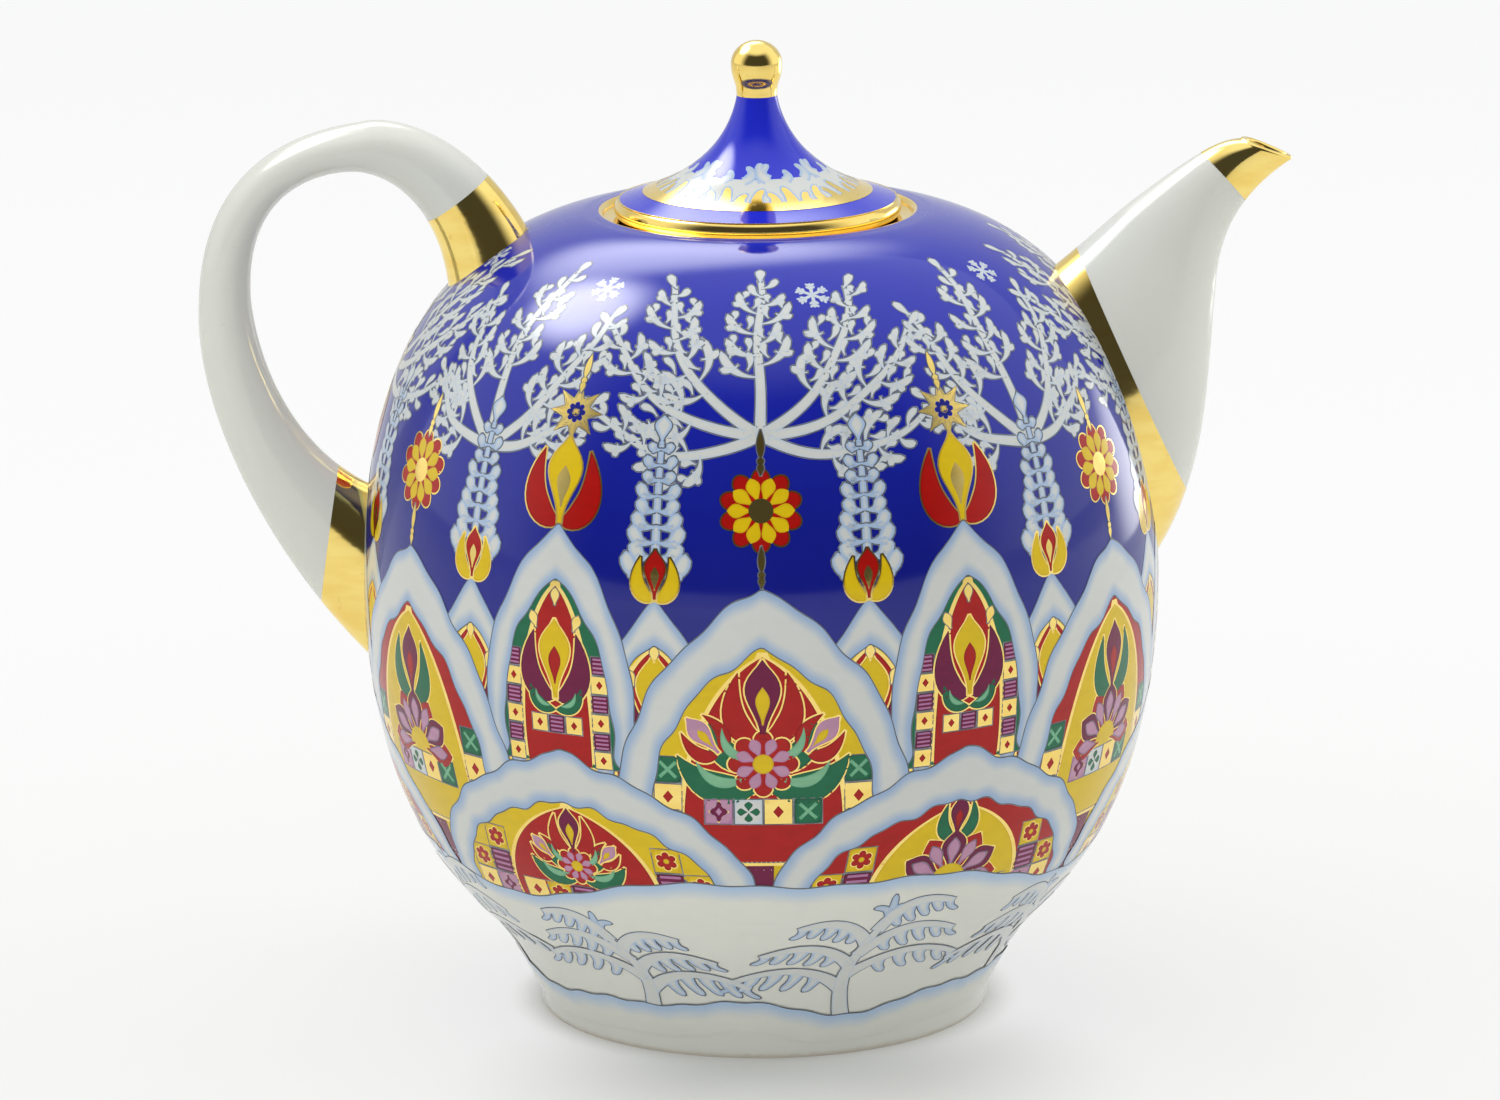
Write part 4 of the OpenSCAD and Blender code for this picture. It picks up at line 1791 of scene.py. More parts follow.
@dataclass
class Spout(Tube):
    """The beaked spout with its gilded root and lip, in millimetres."""

    sides: int = 120
    reach: float = 32.9
    rise: float = 15.6
    pour_len: float = 14.0
    pour_slope: float = 21.5
    pour_w: float = 10.0
    depth: float = 32.0
    width: float = 24.0
    root_w: float = 47.0
    foot: float = 6.8
    root_wall: float = 4.0
    lip_wall: float = 2.0
    root_line: tuple[Spot, Spot] = ((79.9, 192.8), (107.7, 131.0))
    lip_line: tuple[Spot, Spot] = ((110.3, 217.3), (121.8, 204.8))
    lip_bow: float = -0.12

    def __post_init__(self) -> None:
        """Works out the rails of its back and front: x and z, and the back's half width and its bulge."""
        belly_r, belly_z, shoulder = self.pot.belly_r, self.pot.belly_z, self.pot.shoulder_z
        slope, tilt = math.radians(self.pour_slope), math.radians(44.5)
        tip = np.array([belly_r + self.reach, shoulder + self.rise - self.pour_len * math.sin(slope)])
        heel = tip + self.pour_len * np.array([-math.cos(slope), math.sin(slope)])
        start = (belly_r - 36, shoulder - 24)
        mid = np.array([belly_r - 8.5, shoulder - 1])
        front = np.array([belly_r - 10.5, belly_z - 14 + self.foot])
        under = mid + self.depth * np.array([math.sin(tilt), -math.cos(tilt)])
        half, end = self.width / 2, self.pour_w / 2
        low_back = [
            [*start, self.root_w / 2, 0],
            [mix(start[0], mid[0], 0.5), mix(start[1], mid[1], 0.45), self.root_w * 0.47, 0],
            [mix(start[0], mid[0], 0.91), mix(start[1], mid[1], 0.92), half * 1.3, 0],
            [*mid, half, 0],
        ]
        high_back = [
            [*mid, half, 0],
            [mix(mid[0], heel[0], 0.56), mix(mid[1], heel[1], 0.73), mix(half, end, 0.45), 0.05],
            [mix(mid[0], heel[0], 0.8), heel[1], mix(half, end, 0.85), 0.2],
            [*heel, end, 0.3],
        ]
        run = under - front
        low_front = [
            front,
            [front[0] + 0.95 * run[0], mix(front[1], under[1], 0.32)],
            [under[0] - 0.1 * run[0], mix(under[1], front[1], 0.36)],
            under,
        ]
        high_front = [
            under,
            [under[0] + 0.03 * (tip - under)[0], mix(under[1], tip[1], 0.19)],
            [mix(tip[0], under[0], 0.99), mix(tip[1], under[1], 0.352)],
            tip,
        ]
        self.back, self.front = np.array([low_back, high_back]), np.array([low_front, high_front])

    def skin(self, s: Array, a: Array, depth: float) -> Array:
        """Points of the skin.

        Args:
            s: lengths, 0 at the root and 2 at the lip.
            a: angles, 0 on the upper side.
            depth: depth below the solid's face.

        Returns:
            The points.
        """
        low = s < 1
        t = np.where(low, s, s - 1)
        hi = np.where(low[:, None], bezier(self.back[0], t), bezier(self.back[1], t))
        lo = np.where(low[:, None], bezier(self.front[0], t), bezier(self.front[1], t))
        across, mid = (hi[:, :2] - lo) / 2, (hi[:, :2] + lo) / 2
        k = (1 - depth / np.linalg.norm(across, axis=1)) * np.cos(a)
        y = (hi[:, 2] - depth) * np.sin(a) * (1 + hi[:, 3] * np.cos(a))
        return np.stack([mid[:, 0] + across[:, 0] * k, y, mid[:, 1] + across[:, 1] * k], 1)

    def over_lip(self, depth: float, width: float, bulge: float, steps: range) -> list[Array]:
        """Rings that roll over the lip's edge.

        Args:
            depth: depth of the edge's outer side.
            width: distance to its inner side.
            bulge: its height as a share of the lip's wall.
            steps: eighths of the way over.

        Returns:
            The rings.
        """
        slope = math.radians(self.pour_slope)
        up = bulge * self.lip_wall * np.array([math.sin(slope), 0, math.cos(slope)])
        tip = np.full(self.sides, 2.0)
        rings = []
        for k in steps:
            q = math.pi * k / 8
            inward = depth + width / 2 * (1 - math.cos(q))
            rings.append(self.skin(tip, self.angles, inward) + math.sin(q) * up)
        return rings

    def build(self) -> None:
        """Makes the spout, its lip and its gilded bands."""
        seat, tip = self.root(0, 1.2), np.full(self.sides, 2.0)
        outer = self.rings(seat, tip, self.skin_set, 130)
        inner = []
        for share in np.linspace(1, 0, 60):
            ring = seat + (tip - seat) * share
            wall = mix(self.root_wall, self.lip_wall, float(ring.mean()) / 2)
            inner.append(self.skin(ring, self.angles, wall))
        lip = self.over_lip(self.skin_set, self.lip_wall - self.skin_set, 0.32, range(1, 8))
        piece = self.loft("spout_skin", np.concatenate([outer, lip, inner]))
        dress(piece, Glaze("spout_glaze").material(), "pot", "white_glaze", "spout")
        root = np.maximum(self.crossing(line_test(*self.root_line), 0, 1.6), seat + 0.02)
        band = self.loft("spout_root_gilding", self.rings(seat, root, self.gold_set, 25))
        dress(band, Gilding("spout_root_gold").material(), "pot", "gilding")
        edge = self.crossing(line_test(*self.lip_line, self.lip_bow), 1.0, 2.0)
        crown = self.rings(edge, tip, self.gold_set, 40)
        roll = self.over_lip(self.gold_set, self.lip_wall, 0.37, range(1, 9))
        down = [self.skin(tip - 0.03 * k, self.angles, self.lip_wall + 0.02) for k in range(1, 5)]
        piece = self.loft("spout_lip_gilding", np.concatenate([crown, roll, down]))
        dress(piece, Gilding("spout_lip_gold").material(), "pot", "gilding")


@dataclass
class Handle(Tube):
    """The loop handle with its gilded roots, in millimetres."""

    reach: float = 33.2
    rise: float = 15.5
    grip_t: float = 13.3
    grip_w: float = 17.0
    root_hi_t: float = 26.5
    root_hi_w: float = 25.0
    root_lo_t: float = 54.0
    root_lo_w: float = 27.0
    upper_line: tuple[Spot, Spot] = ((-82.5, 201.8), (-67.4, 213.0))
    lower_line: tuple[Spot, Spot] = ((-111.0, 104.3), (-106.0, 138.6))

    def __post_init__(self) -> None:
        """Works out the rail of its middle line: x and z, thickness and width."""
        r, belly, shoulder = self.pot.belly_r, self.pot.belly_z, self.pot.shoulder_z
        hi, lo = (-(r - 36), shoulder - 22), (-(r - 19.5), belly - 2.5)
        crest = (-(r - 3), shoulder + self.rise)
        bow = (-(r + self.reach), mix(hi[1], crest[1], -0.04))
        t, w = self.grip_t, self.grip_w
        upper = [
            [*hi, self.root_hi_t, self.root_hi_w],
            [mix(hi[0], crest[0], 0.18), mix(hi[1], crest[1], 0.76), mix(t, self.root_hi_t, 0.32), w],
            [mix(crest[0], hi[0], 0.29), crest[1], mix(t, self.root_hi_t, 0.2), w],
            [*crest, t, w],
        ]
        outer = [
            [*crest, t, w],
            [mix(crest[0], bow[0], 0.167), crest[1], 0.75 * t, w],
            [bow[0], mix(bow[1], crest[1], 0.96), 0.75 * t, w],
            [*bow, t, w],
        ]
        lower = [
            [*bow, t, w],
            [bow[0], mix(bow[1], lo[1], 0.356), 1.35 * t, w],
            [mix(lo[0], bow[0], 0.657), mix(lo[1], bow[1], 0.168), 1.12 * t, w],
            [*lo, self.root_lo_t, self.root_lo_w],
        ]
        self.rail = np.array([upper, outer, lower])

    def skin(self, s: Array, a: Array, depth: float) -> Array:
        """Points of the skin.

        Args:
            s: lengths, 0 at the upper root and 3 at the lower one.
            a: angles, 0 on the outside of the loop.
            depth: depth below the solid's face.

        Returns:
            The points.
        """
        s = np.clip(s, 0, 3)
        span = np.minimum(np.floor(s).astype(int), 2)
        t, row, step = s - span, np.arange(len(s)), 1e-3
        spans = np.stack([bezier(p, t) for p in self.rail])
        after, before = np.clip(t + step, 0, 1), np.clip(t - step, 0, 1)
        ahead = np.stack([bezier(p, after) - bezier(p, before) for p in self.rail])
        c, v = spans[span, row], ahead[span, row][:, :2]
        v = v / np.linalg.norm(v, axis=1)[:, None]
        h = (c[:, 2] / 2 - depth) * np.cos(a)
        return np.stack([c[:, 0] + v[:, 1] * h, (c[:, 3] / 2 - depth) * np.sin(a), c[:, 1] - v[:, 0] * h], 1)

    def build(self) -> None:
        """Makes the handle and its gilded roots."""
        first, last = self.root(0, 0.7), self.root(3, 2.2)
        piece = self.loft("handle_skin", self.rings(first, last, self.skin_set, 221))
        piece.data.flip_normals()
        dress(piece, Glaze("handle_glaze").material(), "pot", "white_glaze", "handle")
        upper = self.crossing(line_test(*self.upper_line), 0, 1)
        lower = self.crossing(line_test(*self.lower_line), 3, 2)
        for name, start, end in (("upper", first, upper), ("lower", lower, last)):
            band = self.loft(f"handle_{name}_gilding", self.rings(start, end, self.gold_set, 41))
            band.data.flip_normals()
            dress(band, Gilding(f"handle_{name}_gold").material(), "pot", "gilding")


# -------- the lid


@dataclass
class Lid:
    """The lid with its rolled gilded rim, painted cover and knob, in millimetres."""

    pot: PotBody
    rim_gap: float = 3.1
    rim_h: float = 4.7
    rim_bevel: float = 1.1
    neck_h: float = 26.4
    neck_r: float = 5.1
    wall: float = 3.4
    flange_depth: float = 15.0
    flange_t: float = 3.0
    flange_play: float = 1.0
    knob_r: float = 6.4
    knob_waist_h: float = 7.5
    knob_h: float = 13.2
    skin_set: float = 0.16
    sides: int = 224

    def __post_init__(self) -> None:
        """Works out the heights of its seat, rim and neck."""
        self.seat = self.pot.shoulder_z - self.pot.seat_drop
        self.rim_r = self.pot.mouth_r - self.rim_gap
        self.rim_top = self.seat + self.rim_h
        self.neck_top = self.rim_top + self.neck_h

    def cover_span(self) -> Array:
        """The cover's curve from the rim up to the neck.

        Returns:
            Its four control points.
        """
        rim, neck = self.rim_r - self.rim_bevel, self.neck_r
        low = [mix(rim, neck, 0.2), mix(self.rim_top, self.neck_top, 0.075)]
        high = [neck + 0.107 * (self.rim_r - neck), mix(self.neck_top, self.rim_top, 0.737)]
        return np.array([[rim, self.rim_top], low, high, [neck, self.neck_top]])

    def skin(self) -> Outline:
        """The outline that is painted on, from the rim to the neck."""
        line = bezier(self.cover_span(), np.linspace(0, 1, 200))
        return Outline(resample(line - self.skin_set * right_of(line), 90))

    def underside(self, rim: float) -> Array:
        """The hollow below the cover and the flange round it.

        Args:
            rim: radius at which the rim's gilding ends.

        Returns:
            Radius and height of its points.
        """
        seat, low = self.seat, self.seat - self.flange_depth
        outer = self.pot.mouth_r - self.pot.ledge_w - 1 - self.flange_play
        inner = outer - self.flange_t
        hollow = bezier(self.cover_span(), np.linspace(0.28, 0.8, 24))
        hollow = hollow - self.wall * right_of(hollow)
        hollow = hollow[hollow[:, 0] < inner - 0.5][::-1]
        inside = [[inner, seat - 1], [inner, low + 1], [inner + 0.3, low + 0.3], [inner + 1, low]]
        outside = [[outer - 1, low], [outer - 0.3, low + 0.3], [outer, low + 1], [outer, seat]]
        return np.vstack([[[0.01, hollow[0][1] + 0.2]], hollow, inside, outside, [[rim, seat]]])

    def build(self) -> None:
        """Makes the cover, its rim, its underside and the knob."""
        cover = self.skin().points
        r, seat, half = self.rim_r - 0.05, self.seat, self.rim_h / 2
        w = np.radians(np.linspace(-80, 92, 22))
        roll = np.stack([r - 1.7 + 1.7 * np.cos(w), seat + half + (half - 0.03) * np.sin(w)], 1)
        rim = np.vstack([[[r - 2.4, seat]], roll, [[cover[0][0] + 0.25, self.rim_top - 0.06]], cover[:1]])
        piece = turned("lid_rim_gilding", rim, self.sides)
        dress(piece, Gilding("lid_rim_gold").material(), "lid", "gilding")
        piece = turned("lid_cover_skin", cover, self.sides)
        dress(piece, Glaze("lid_cobalt", tint(34, 46, 212)).material(), "lid", "cobalt_glaze", "lid_cover")
        piece = turned("lid_underside", self.underside(r - 2.4), self.sides)
        dress(piece, Glaze("lid_white").material(), "lid", "white_glaze")
        self.build_knob()

    def build_knob(self) -> None:
        """Makes the gilded knob."""
        top, waist, end = self.neck_top, self.neck_top + self.knob_waist_h, self.neck_top + self.knob_h
        r, neck = self.knob_r - 0.02, self.neck_r - 0.02
        bulge = top + 0.45 * self.knob_waist_h
        swell = np.array([[neck, top], [neck, top + 0.4 * self.knob_waist_h], [r, bulge], [r, waist]])
        crown = np.array([[r, waist], [r, mix(waist, end, 0.55)], [0.55 * r, end], [0.01, end]])
        t = np.linspace(0, 1, 28)
        foot = np.array([[0.01, top - 1.5], [neck - 0.3, top - 1.5], [neck - 0.02, top - 0.4], [neck, top]])
        piece = turned("lid_knob_gold", np.vstack([foot, bezier(swell, t)[1:], bezier(crown, t)[1:]]), 96)
        dress(piece, Gilding("knob_gold").material(), "lid", "gilding", "lid_knob")


# -------- painting


def ring_of(skin: Outline, count: int, first: float = -90.0) -> list[Wrap]:
    """Even places round the pot.

    Args:
        skin: the outline that is painted on.
        count: how many.
        first: angle of the first one, in degrees; -90 is the front.

    Returns:
        One wrap for each place.
    """
    return [skin.wrap_at(math.radians(first) + FULL * k / count) for k in range(count)]


def stretched(skin: Outline, wrap: Wrap, radius: float) -> Wrap:
    """The same place, with across measured at a fixed radius, so that shapes tile round the pot.

    Args:
        skin: the outline that is painted on.
        wrap: the place.
        radius: the radius at which across is true.

    Returns:
        The new wrap.
    """

    def even(x: Array, y: Array, lift: float) -> tuple[Array, Array]:
        """Points and normals."""
        return wrap(x * skin.at(y)[0] / radius, y, lift)

    return even


@dataclass
class PotPainting:
    """The pot's painting: frost fronds on cobalt, a frieze of painted gables, white swags below.

    The fields are heights at which the motifs start, and radii, in millimetres.
    """

    pot: PotBody
    frieze_foot: float = 44.0
    frieze_top: float = 76.0
    high_foot: float = 61.0
    small_foot: float = 81.0
    slim_foot: float = 84.0
    plume_foot: float = 134.0
    side_crown_foot: float = 159.0
    crown_foot: float = 166.0
    star_z: float = 195.0
    swag_z: float = 50.5
    sprig_foot: float = 11.0
    base_drift_z: float = 14.5
    frieze_r: float = 100.0
    drift_r: float = 80.0

    def __post_init__(self) -> None:
        """Takes the pot's skin."""
        self.skin = self.pot.skin()
        self.canvas = Canvas("pot")

    def at(self, z: float) -> float:
        """Length along the skin at height z."""
        return self.skin.along(z)

    def places(self, count: int, shift: float = 0.0) -> list[Wrap]:
        """Even places round the pot; shift turns them by a share of a step."""
        return ring_of(self.skin, count, -90 + 360 * shift / count)

    def build(self) -> None:
        """Paints everything, from the ground up."""
        self.frieze_ground()
        self.lower_gables()
        self.upper_gables()
        self.plumes()
        self.crowns()
        self.swags()
        self.base_lines()
        self.canvas.build()

    def frieze_ground(self) -> None:
        """Upright stripes behind the gables."""
        count = 24
        low, high, step = self.at(self.frieze_foot), self.at(self.frieze_top), FULL * self.frieze_r / count
        wraps = [stretched(self.skin, w, self.frieze_r) for w in self.places(count, 0.5)]
        for paint, start, end in ((Paint.RED, 0.0, 0.34), (Paint.PLUM, 0.34, 0.6), (Paint.YELLOW, 0.6, 1.0)):
            self.canvas.lay([Touch(paint, block(step * start, step * end, low, high), 0, None)], wraps, 0)

    def lower_gables(self) -> None:
        """Six wide gables round the lower belly, in front of the others."""
        column = (Tile.COIN, Tile.ROSE, Tile.LADDER, Tile.DIAMOND)
        kinds = (Paint.RED, Paint.YELLOW, Filling.WHEEL), (Paint.YELLOW, Paint.RED, Filling.POSY)
        for k, (ground, panel, filling) in enumerate(kinds):
            sizes = dict(half=44, height=46, top=13.5, side=8.0, lobes=8, tile_size=7.4, pillars=2, foot=9.0)
            gable = Gable(ground, panel, filling, column, **sizes)
            wraps = self.places(3, 0.25 + 0.5 * k)
            self.canvas.lay(gable.touches(), wraps, y=self.at(self.frieze_foot), over=12)

    def upper_gables(self) -> None:
        """Six gables above and between them, six slim ones, and twelve small ones in the valleys."""
        tiles = (Tile.COIN, Tile.LADDER)
        sizes = dict(half=15.5, height=46, top=10.0, side=4.2, lobes=4, tile_size=2.6, pillars=0, foot=9.0)
        small = Gable(Paint.YELLOW, Paint.RED, Filling.TULIP, tiles[:1], **sizes)
        self.canvas.lay(small.touches(), self.places(12, 0.5), y=self.at(self.small_foot))
        column = (Tile.DIAMOND, Tile.CLOVER, Tile.COIN, Tile.CROSS)
        kinds = (Paint.YELLOW, Paint.RED, Filling.POSY), (Paint.RED, Paint.YELLOW, Filling.WHEEL)
        for k, (ground, panel, filling) in enumerate(kinds):
            sizes = dict(half=35, height=71, top=15.5, side=7.8, lobes=7, tile_size=7.2, pillars=1, foot=19.0)
            gable = Gable(ground, panel, filling, column, **sizes)
            self.canvas.lay(gable.touches(), self.places(3, 0.5 * k), y=self.at(self.high_foot), over=7)
        sizes = dict(half=20.5, height=60, top=13.5, side=5.6, lobes=5, tile_size=4.8, pillars=1, foot=14.0)
        slim = Gable(Paint.GREEN, Paint.RED, Filling.TULIP, tiles, **sizes)
        self.canvas.lay(slim.touches(), self.places(6, 0.5), y=self.at(self.slim_foot), over=5)

    def plumes(self) -> None:
        """Frost plumes between the gables; buds, wheels and gold stars above them."""
        self.canvas.lay(frost_plume(36), self.places(12, 0.5), y=self.at(self.plume_foot), over=5)
        bud = tulip(21, Paint.YELLOW, Paint.RED, Paint.GILT)
        bud += placed(gold_star(7.2), y=27) + placed(gold_finial(9), y=33)
        self.canvas.lay(bud, self.places(6, 0.5), y=self.at(self.slim_foot) + 60, over=6)
        bloom = gold_finial(9) + placed(wheel(10.0, Paint.RED, Paint.YELLOW, Paint.GILT, 10), y=17.5)
        bloom += placed(gold_finial(10), y=27)
        self.canvas.lay(bloom, self.places(6), y=self.at(self.high_foot) + 71.5, over=6)
        drop = tulip(12, Paint.RED, Paint.YELLOW, Paint.GILT)
        self.canvas.lay(drop, self.places(12, 0.5), y=self.at(self.small_foot) + 46.5, over=6)

    def crowns(self) -> None:
        """Crowns of frost fronds on the shoulder, and stars above them."""
        for angle, length, reach in ((0, 44, 11), (27, 46, 11.5), (54, 46, 11), (84, 42, 9.5)):
            for side in (-1, 1) if angle else (1,):
                frond = frost_frond(length, -0.17 * side if angle else 0.0, reach)
                self.canvas.lay(frond, self.places(4), y=self.at(self.crown_foot), turn=-side * angle)
        for angle, length in ((0, 50), (28, 42), (62, 30)):
            for side in (-1, 1) if angle else (1,):
                frond = frost_frond(length, -0.13 * side if angle else 0.04, 10)
                start = self.at(self.side_crown_foot)
                self.canvas.lay(frond, self.places(4, 0.5), y=start, turn=-side * angle)
        self.canvas.lay(snow_star(4.2), self.places(8, 0.25), y=self.at(self.star_z))

    def drift(self, width: float, z: float, waves: tuple[Place, ...], steps: int, level: int) -> None:
        """A drift of white round the pot, shaded under its grey upper line.

        Args:
            width: how far it reaches down.
            z: middle height of its upper line.
            waves: the line's waves: how high, how many, and their shift in radians.
            steps: pieces round the pot.
            level: its level; its line lies one higher.
        """
        a = np.linspace(-math.pi, math.pi, steps + 1)
        high = self.at(z) + sum(size * np.cos(count * a + shift) for size, count, shift in waves)
        shape = hoop(high - width, high, self.drift_r)
        line = Touch(Paint.INK, ribbon(shape.far, 0.42), level + 1, None)
        wrap = stretched(self.skin, self.places(1)[0], self.drift_r)
        self.canvas.lay([Touch(Paint.DRIFT, shape, level, None), line], [wrap], 0)

    def swags(self) -> None:
        """Drifts of white that close the frieze below."""
        self.drift(19.0, self.swag_z, ((5.2, 3, -0.35), (1.9, 7, 2.2), (0.35, 31, 0)), 504, 18)

    def base_lines(self) -> None:
        """Large sprigs drawn in thin grey line on the white base, and a drift at their feet."""
        for k, (height, spread) in enumerate(((46, 62), (39, 57))):
            sprig = placed(drift_sprig(height, spread), flip=bool(k))
            self.canvas.lay(sprig, self.places(4, 0.2 + 0.5 * k), y=self.at(self.sprig_foot), over=20)
        self.drift(10.5, self.base_drift_z, ((2.0, 5, 1.1), (1.3, 9, 0.3), (0.3, 37, 0)), 404, 23)


@dataclass
class LidPainting:
    """The lid's painting: a gold ring and a white ring with a fringe of tongues; radii in millimetres."""

    lid: Lid
    even_r: float = 25.0
    white_ring: Spot = (26.0, 17.2)
    gold_ring: Spot = (28.7, 25.2)
    gold_fringe_r: float = 25.4

    def __post_init__(self) -> None:
        """Takes the lid's skin."""
        self.skin = self.lid.skin()
        self.canvas = Canvas("lid")

    def along(self, radius: float) -> float:
        """Length along the skin at a radius."""
        return float(np.interp(-radius, -self.skin.points[:, 0], self.skin.length))

    def ring(self, paint: Paint, radii: Spot, level: int) -> None:
        """One even ring.

        Args:
            paint: its colour.
            radii: its outer and its inner radius.
            level: its level.
        """
        low, high = (np.full(361, self.along(r)) for r in radii)
        wrap = stretched(self.skin, ring_of(self.skin, 1)[0], self.even_r)
        self.canvas.lay([Touch(paint, hoop(low, high, self.even_r), level, None)], [wrap], 0)

    def build(self) -> None:
        """Paints the rings and their fringes."""
        self.ring(Paint.FROST, self.white_ring, 0)
        self.ring(Paint.GILT, self.gold_ring, 9)
        for k, (high, wide, bend) in enumerate(((5.6, 3.6, 0.22), (3.0, 2.8, -0.2), (4.4, 3.0, -0.28))):
            for lean, at, shift in ((0.5, 17.8, 0.34), (-0.35, 17.4, 0.5)):
                tongue = Touch(Paint.ICE, finger((0, 0), (lean * high * 0.5, high), wide, bend), 3, None)
                wraps = ring_of(self.skin, 7, -90 + 360 / 7 * (k + shift) / 3)
                self.canvas.lay([tongue], wraps, y=self.along(at))
        tongues = (5.6, 0.25, 3.0), (4.3, -0.3, 2.7), (6.3, -0.12, 3.1), (3.8, 0.3, 2.8)
        for k, (high, lean, wide) in enumerate(tongues):
            tongue = finger((0, -0.8), (lean * high, high), wide, 0.5 * lean)
            touches = [Touch(Paint.ICE, tongue.grown(0.5), 3, None), Touch(Paint.GILT, tongue, 6, None)]
            self.canvas.lay(touches, ring_of(self.skin, 9, -90 + 10 * k), y=self.along(self.gold_fringe_r))
        self.canvas.build()


# -------- studio


def face(thing: Piece, place: Place, aim: Place) -> None:
    """Stands a thing at a place so that it faces a point."""
    thing.location = place
    thing.rotation_euler = (Vector(aim) - Vector(place)).to_track_quat("-Z", "Y").to_euler()


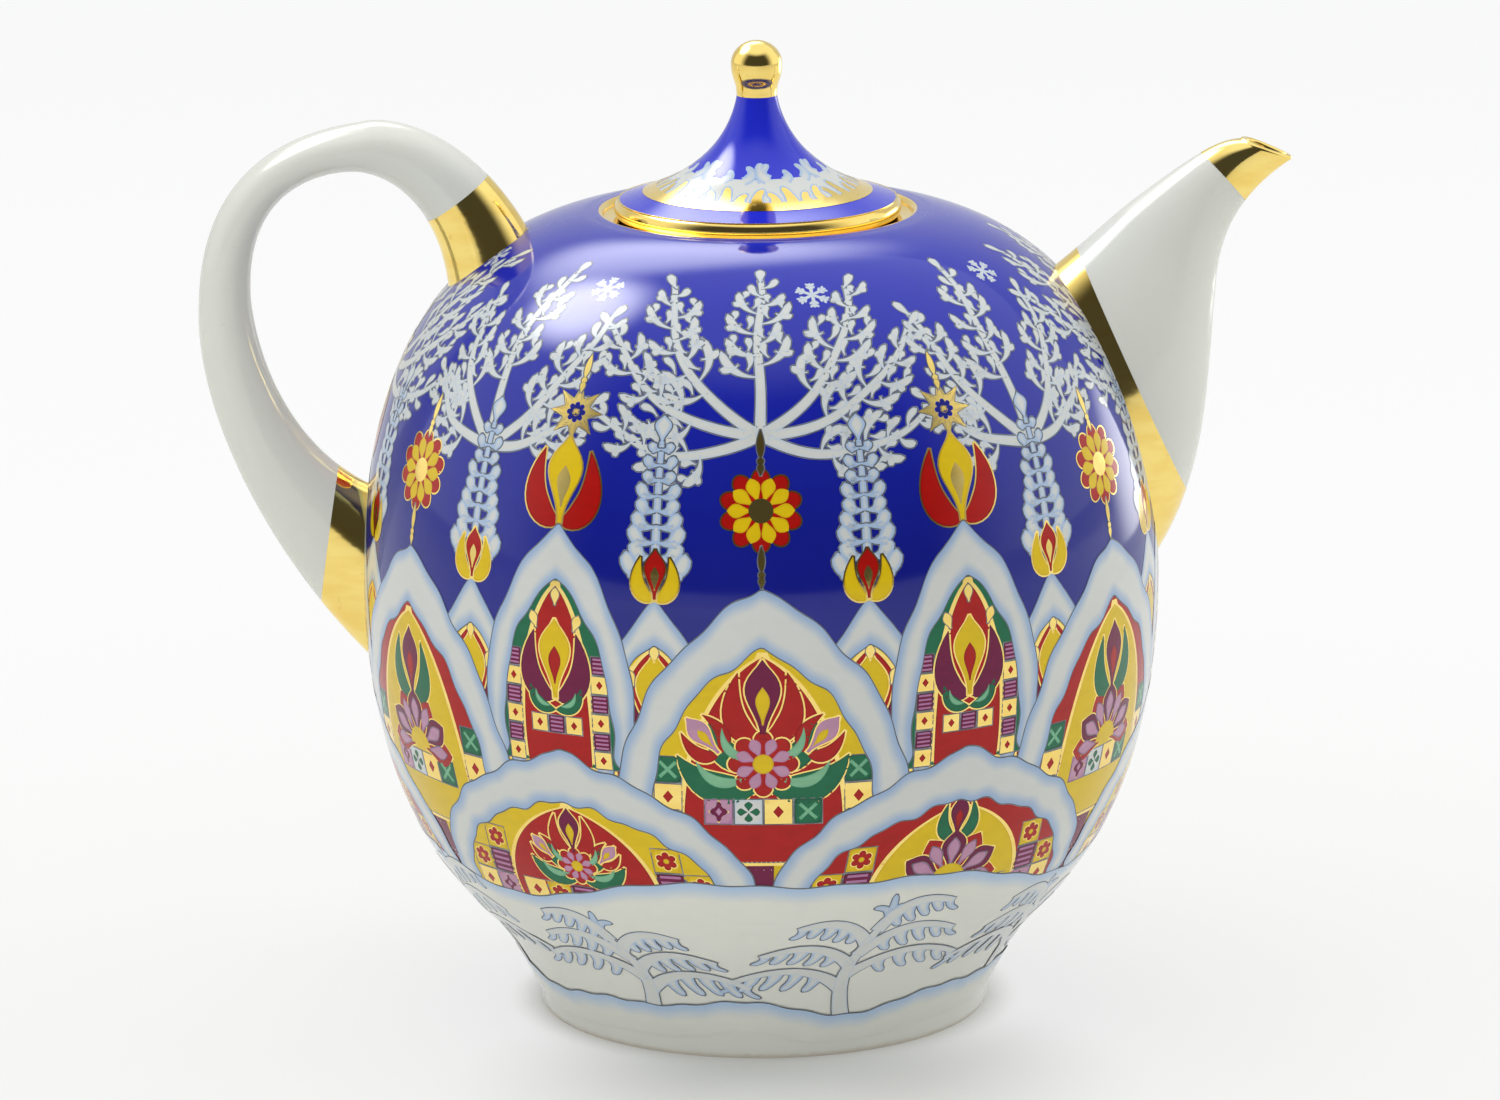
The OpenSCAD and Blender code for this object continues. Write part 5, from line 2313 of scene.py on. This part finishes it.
@dataclass
class Studio:
    """A pale table and backdrop under soft lamps, and the camera; lengths in metres, angles in degrees."""

    pale: Colour = tint(237, 237, 233)
    focal_px: float = 7436.4
    frame_px: float = 1500.0
    aim: Place = (-0.0027, 0.0, 0.11645)
    distance: float = 1.8756
    down: float = 13.42
    roll: float = -0.51

    def floor(self) -> None:
        """The table, which runs up into a backdrop; it glows for the camera, less so close round the foot and
        just in front of it, which paints a shadow there.
        """
        t = np.linspace(0, math.pi / 2, 16)
        bend = np.stack([2.2 + 0.9 * np.sin(t), 0.9 - 0.9 * np.cos(t)], 1)
        line = np.vstack([[-3.2, 0], bend, [3.1, 3.2]])
        points = np.array([(x, y, z) for y, z in line for x in (-4.5, 4.5)])
        floor = make_mesh("table", points, quads(len(line), 2))
        mixer = Mixer("table")
        base = mixer.blend(mixer.noise(3, 2), self.pale, dimmed(self.pale, 0.985))
        matte = mixer.node("ShaderNodeBsdfDiffuse", {}, {"Color": base})
        glow = mixer.node("ShaderNodeEmission", {}, {"Color": (0.985, 0.987, 0.99, 1), "Strength": 1.0})
        across, along = mixer.axis("X"), mixer.axis("Y")
        from_foot = (across * across + along * along).power(0.5)
        side, front = across - 0.008, along + 0.085
        away = (side * side + front * front).power(0.5)
        # Painted shadow: the glow is weaker close round the foot and in a patch in front of it, so the table
        # is darker there.
        share = 0.08 + 0.6 * away.rise(0.02, 0.095) * from_foot.rise(0.053, 0.066)
        share = share + 0.22 * away.rise(0.15, 0.6)
        lit = share * mixer.ray("Camera") + 0.5 * mixer.ray("Glossy")
        mixer.end(mixer.node("ShaderNodeMixShader", {}, {0: lit, 1: matte, 2: glow}))
        floor.data.materials.append(mixer.home)

    def lamp(self, name: str, place: Place, aim: Place, size: Spot, power: float) -> None:
        """One soft lamp.

        Args:
            name: its name.
            place: where it stands.
            aim: the point it faces.
            size: width and height.
            power: watts.
        """
        light = bpy.data.lights.new(name, "AREA")
        light.shape, light.size, light.size_y, light.energy = "RECTANGLE", *size, power
        lamp = bpy.data.objects.new(name, light)
        lamp.visible_glossy = False
        face(lamp, place, aim)
        bpy.context.scene.collection.objects.link(lamp)

    def world(self) -> None:
        """Soft light from all round; the glaze and the gold see a room that is dim in front."""
        world = bpy.data.worlds.new("room")
        bpy.context.scene.world = world
        mixer = Mixer("room", world)
        aside, split, up = (mixer.axis(letter, "Generated") for letter in "XYZ")
        room = (split + 0.45 * (aside * aside).power(0.5)).rise(-0.35, 0.35) * 1.04 + 0.06
        room = room + (1.1 - room) * up.rise(0.72, 0.95)
        seen, glossy = mixer.ray("Camera") + mixer.ray("Transmission"), mixer.ray("Glossy")
        strength = 0.485 * (1 - seen) * (1 - glossy) + seen + glossy * room
        light = {"Color": (0.975, 0.98, 0.985, 1), "Strength": strength}
        mixer.end(mixer.node("ShaderNodeBackground", {}, light), "ShaderNodeOutputWorld")

    def camera(self) -> None:
        """The camera, in front of the pot; it stands higher and looks down a little."""
        data = bpy.data.cameras.new("camera")
        data.sensor_width, data.sensor_fit = 36.0, "HORIZONTAL"
        data.lens = self.focal_px / self.frame_px * data.sensor_width
        data.clip_start, data.clip_end = 0.05, 50
        camera = bpy.data.objects.new("camera", data)
        down = math.radians(self.down)
        camera.location = Vector(self.aim) - self.distance * Vector((0, math.cos(down), -math.sin(down)))
        view = Euler((math.pi / 2 - down, 0, 0)).to_matrix()
        camera.rotation_euler = (view @ Euler((0, 0, math.radians(self.roll))).to_matrix()).to_euler()
        bpy.context.scene.collection.objects.link(camera)
        bpy.context.scene.camera = camera

    def card(self, name: str, place: Place, aim: Place, size: Spot, glow: float) -> None:
        """A white reflector with soft edges, seen only in the glaze and the gold.

        Args:
            name: its name.
            place: where it stands.
            aim: the point it faces.
            size: width and height.
            glow: brightness of its middle.
        """
        corners = np.array([[-0.5, -0.5, 0], [0.5, -0.5, 0], [0.5, 0.5, 0], [-0.5, 0.5, 0]])
        card = make_mesh(name, corners, [(0, 1, 2, 3)])
        card.scale = (*size, 1)
        face(card, place, aim)
        mixer = Mixer(name)
        x, y = mixer.axis("X"), mixer.axis("Y")
        soft = ((x * x + y * y) * 4).rise(1.0, 0.0).power(2.6)
        lit = mixer.node("ShaderNodeEmission", {}, {"Color": (1, 1, 1, 1), "Strength": glow})
        gone = mixer.node("ShaderNodeBsdfTransparent", {}, {})
        mixer.end(mixer.node("ShaderNodeMixShader", {}, {0: soft, 1: gone, 2: lit}))
        card.data.materials.append(mixer.home)
        for ray in ("camera", "diffuse", "transmission", "volume_scatter", "shadow"):
            setattr(card, f"visible_{ray}", False)

    def build(self) -> None:
        """Sets up the table, the lamps, the room and the camera."""
        self.floor()
        self.lamp("front", (-1.2, -0.9, 1.1), (0, 0, 0.12), (0.9, 0.9), 2.5)
        self.lamp("side", (1.25, 0.35, 0.6), (0, 0, 0.1), (0.6, 0.9), 4.5)
        self.lamp("over", (-0.25, 0.15, 1.6), (0, 0, 0.05), (1.8, 1.6), 15.5)
        self.lamp("low", (-0.5, -1.5, 0.16), (0, 0, 0.03), (1.3, 0.25), 1.9)
        self.card("top_card", (-0.70, 0.33, 1.2), (-0.04, -0.05, 0.19), (1.15, 0.95), 15.0)
        self.card("back_card", (-0.35, 1.25, 1.45), (0, 0, 0.19), (2.2, 1.3), 5.0)
        self.card("side_card", (0.6, 0.55, 0.14), (0.09, -0.03, 0.13), (0.62, 0.54), 4.2)
        self.world()
        self.camera()
        bpy.context.scene.view_settings.view_transform = "Standard"


def main() -> None:
    """Builds the pot and its painting, then the studio."""
    logging.basicConfig(level=logging.INFO, format="%(name)s: %(message)s")
    pot = PotBody()
    pot.build()
    PotPainting(pot).build()
    Spout(pot).build()
    Handle(pot).build()
    lid = Lid(pot)
    lid.build()
    LidPainting(lid).build()
    Studio().build()


if __name__ == "__main__":
    main()
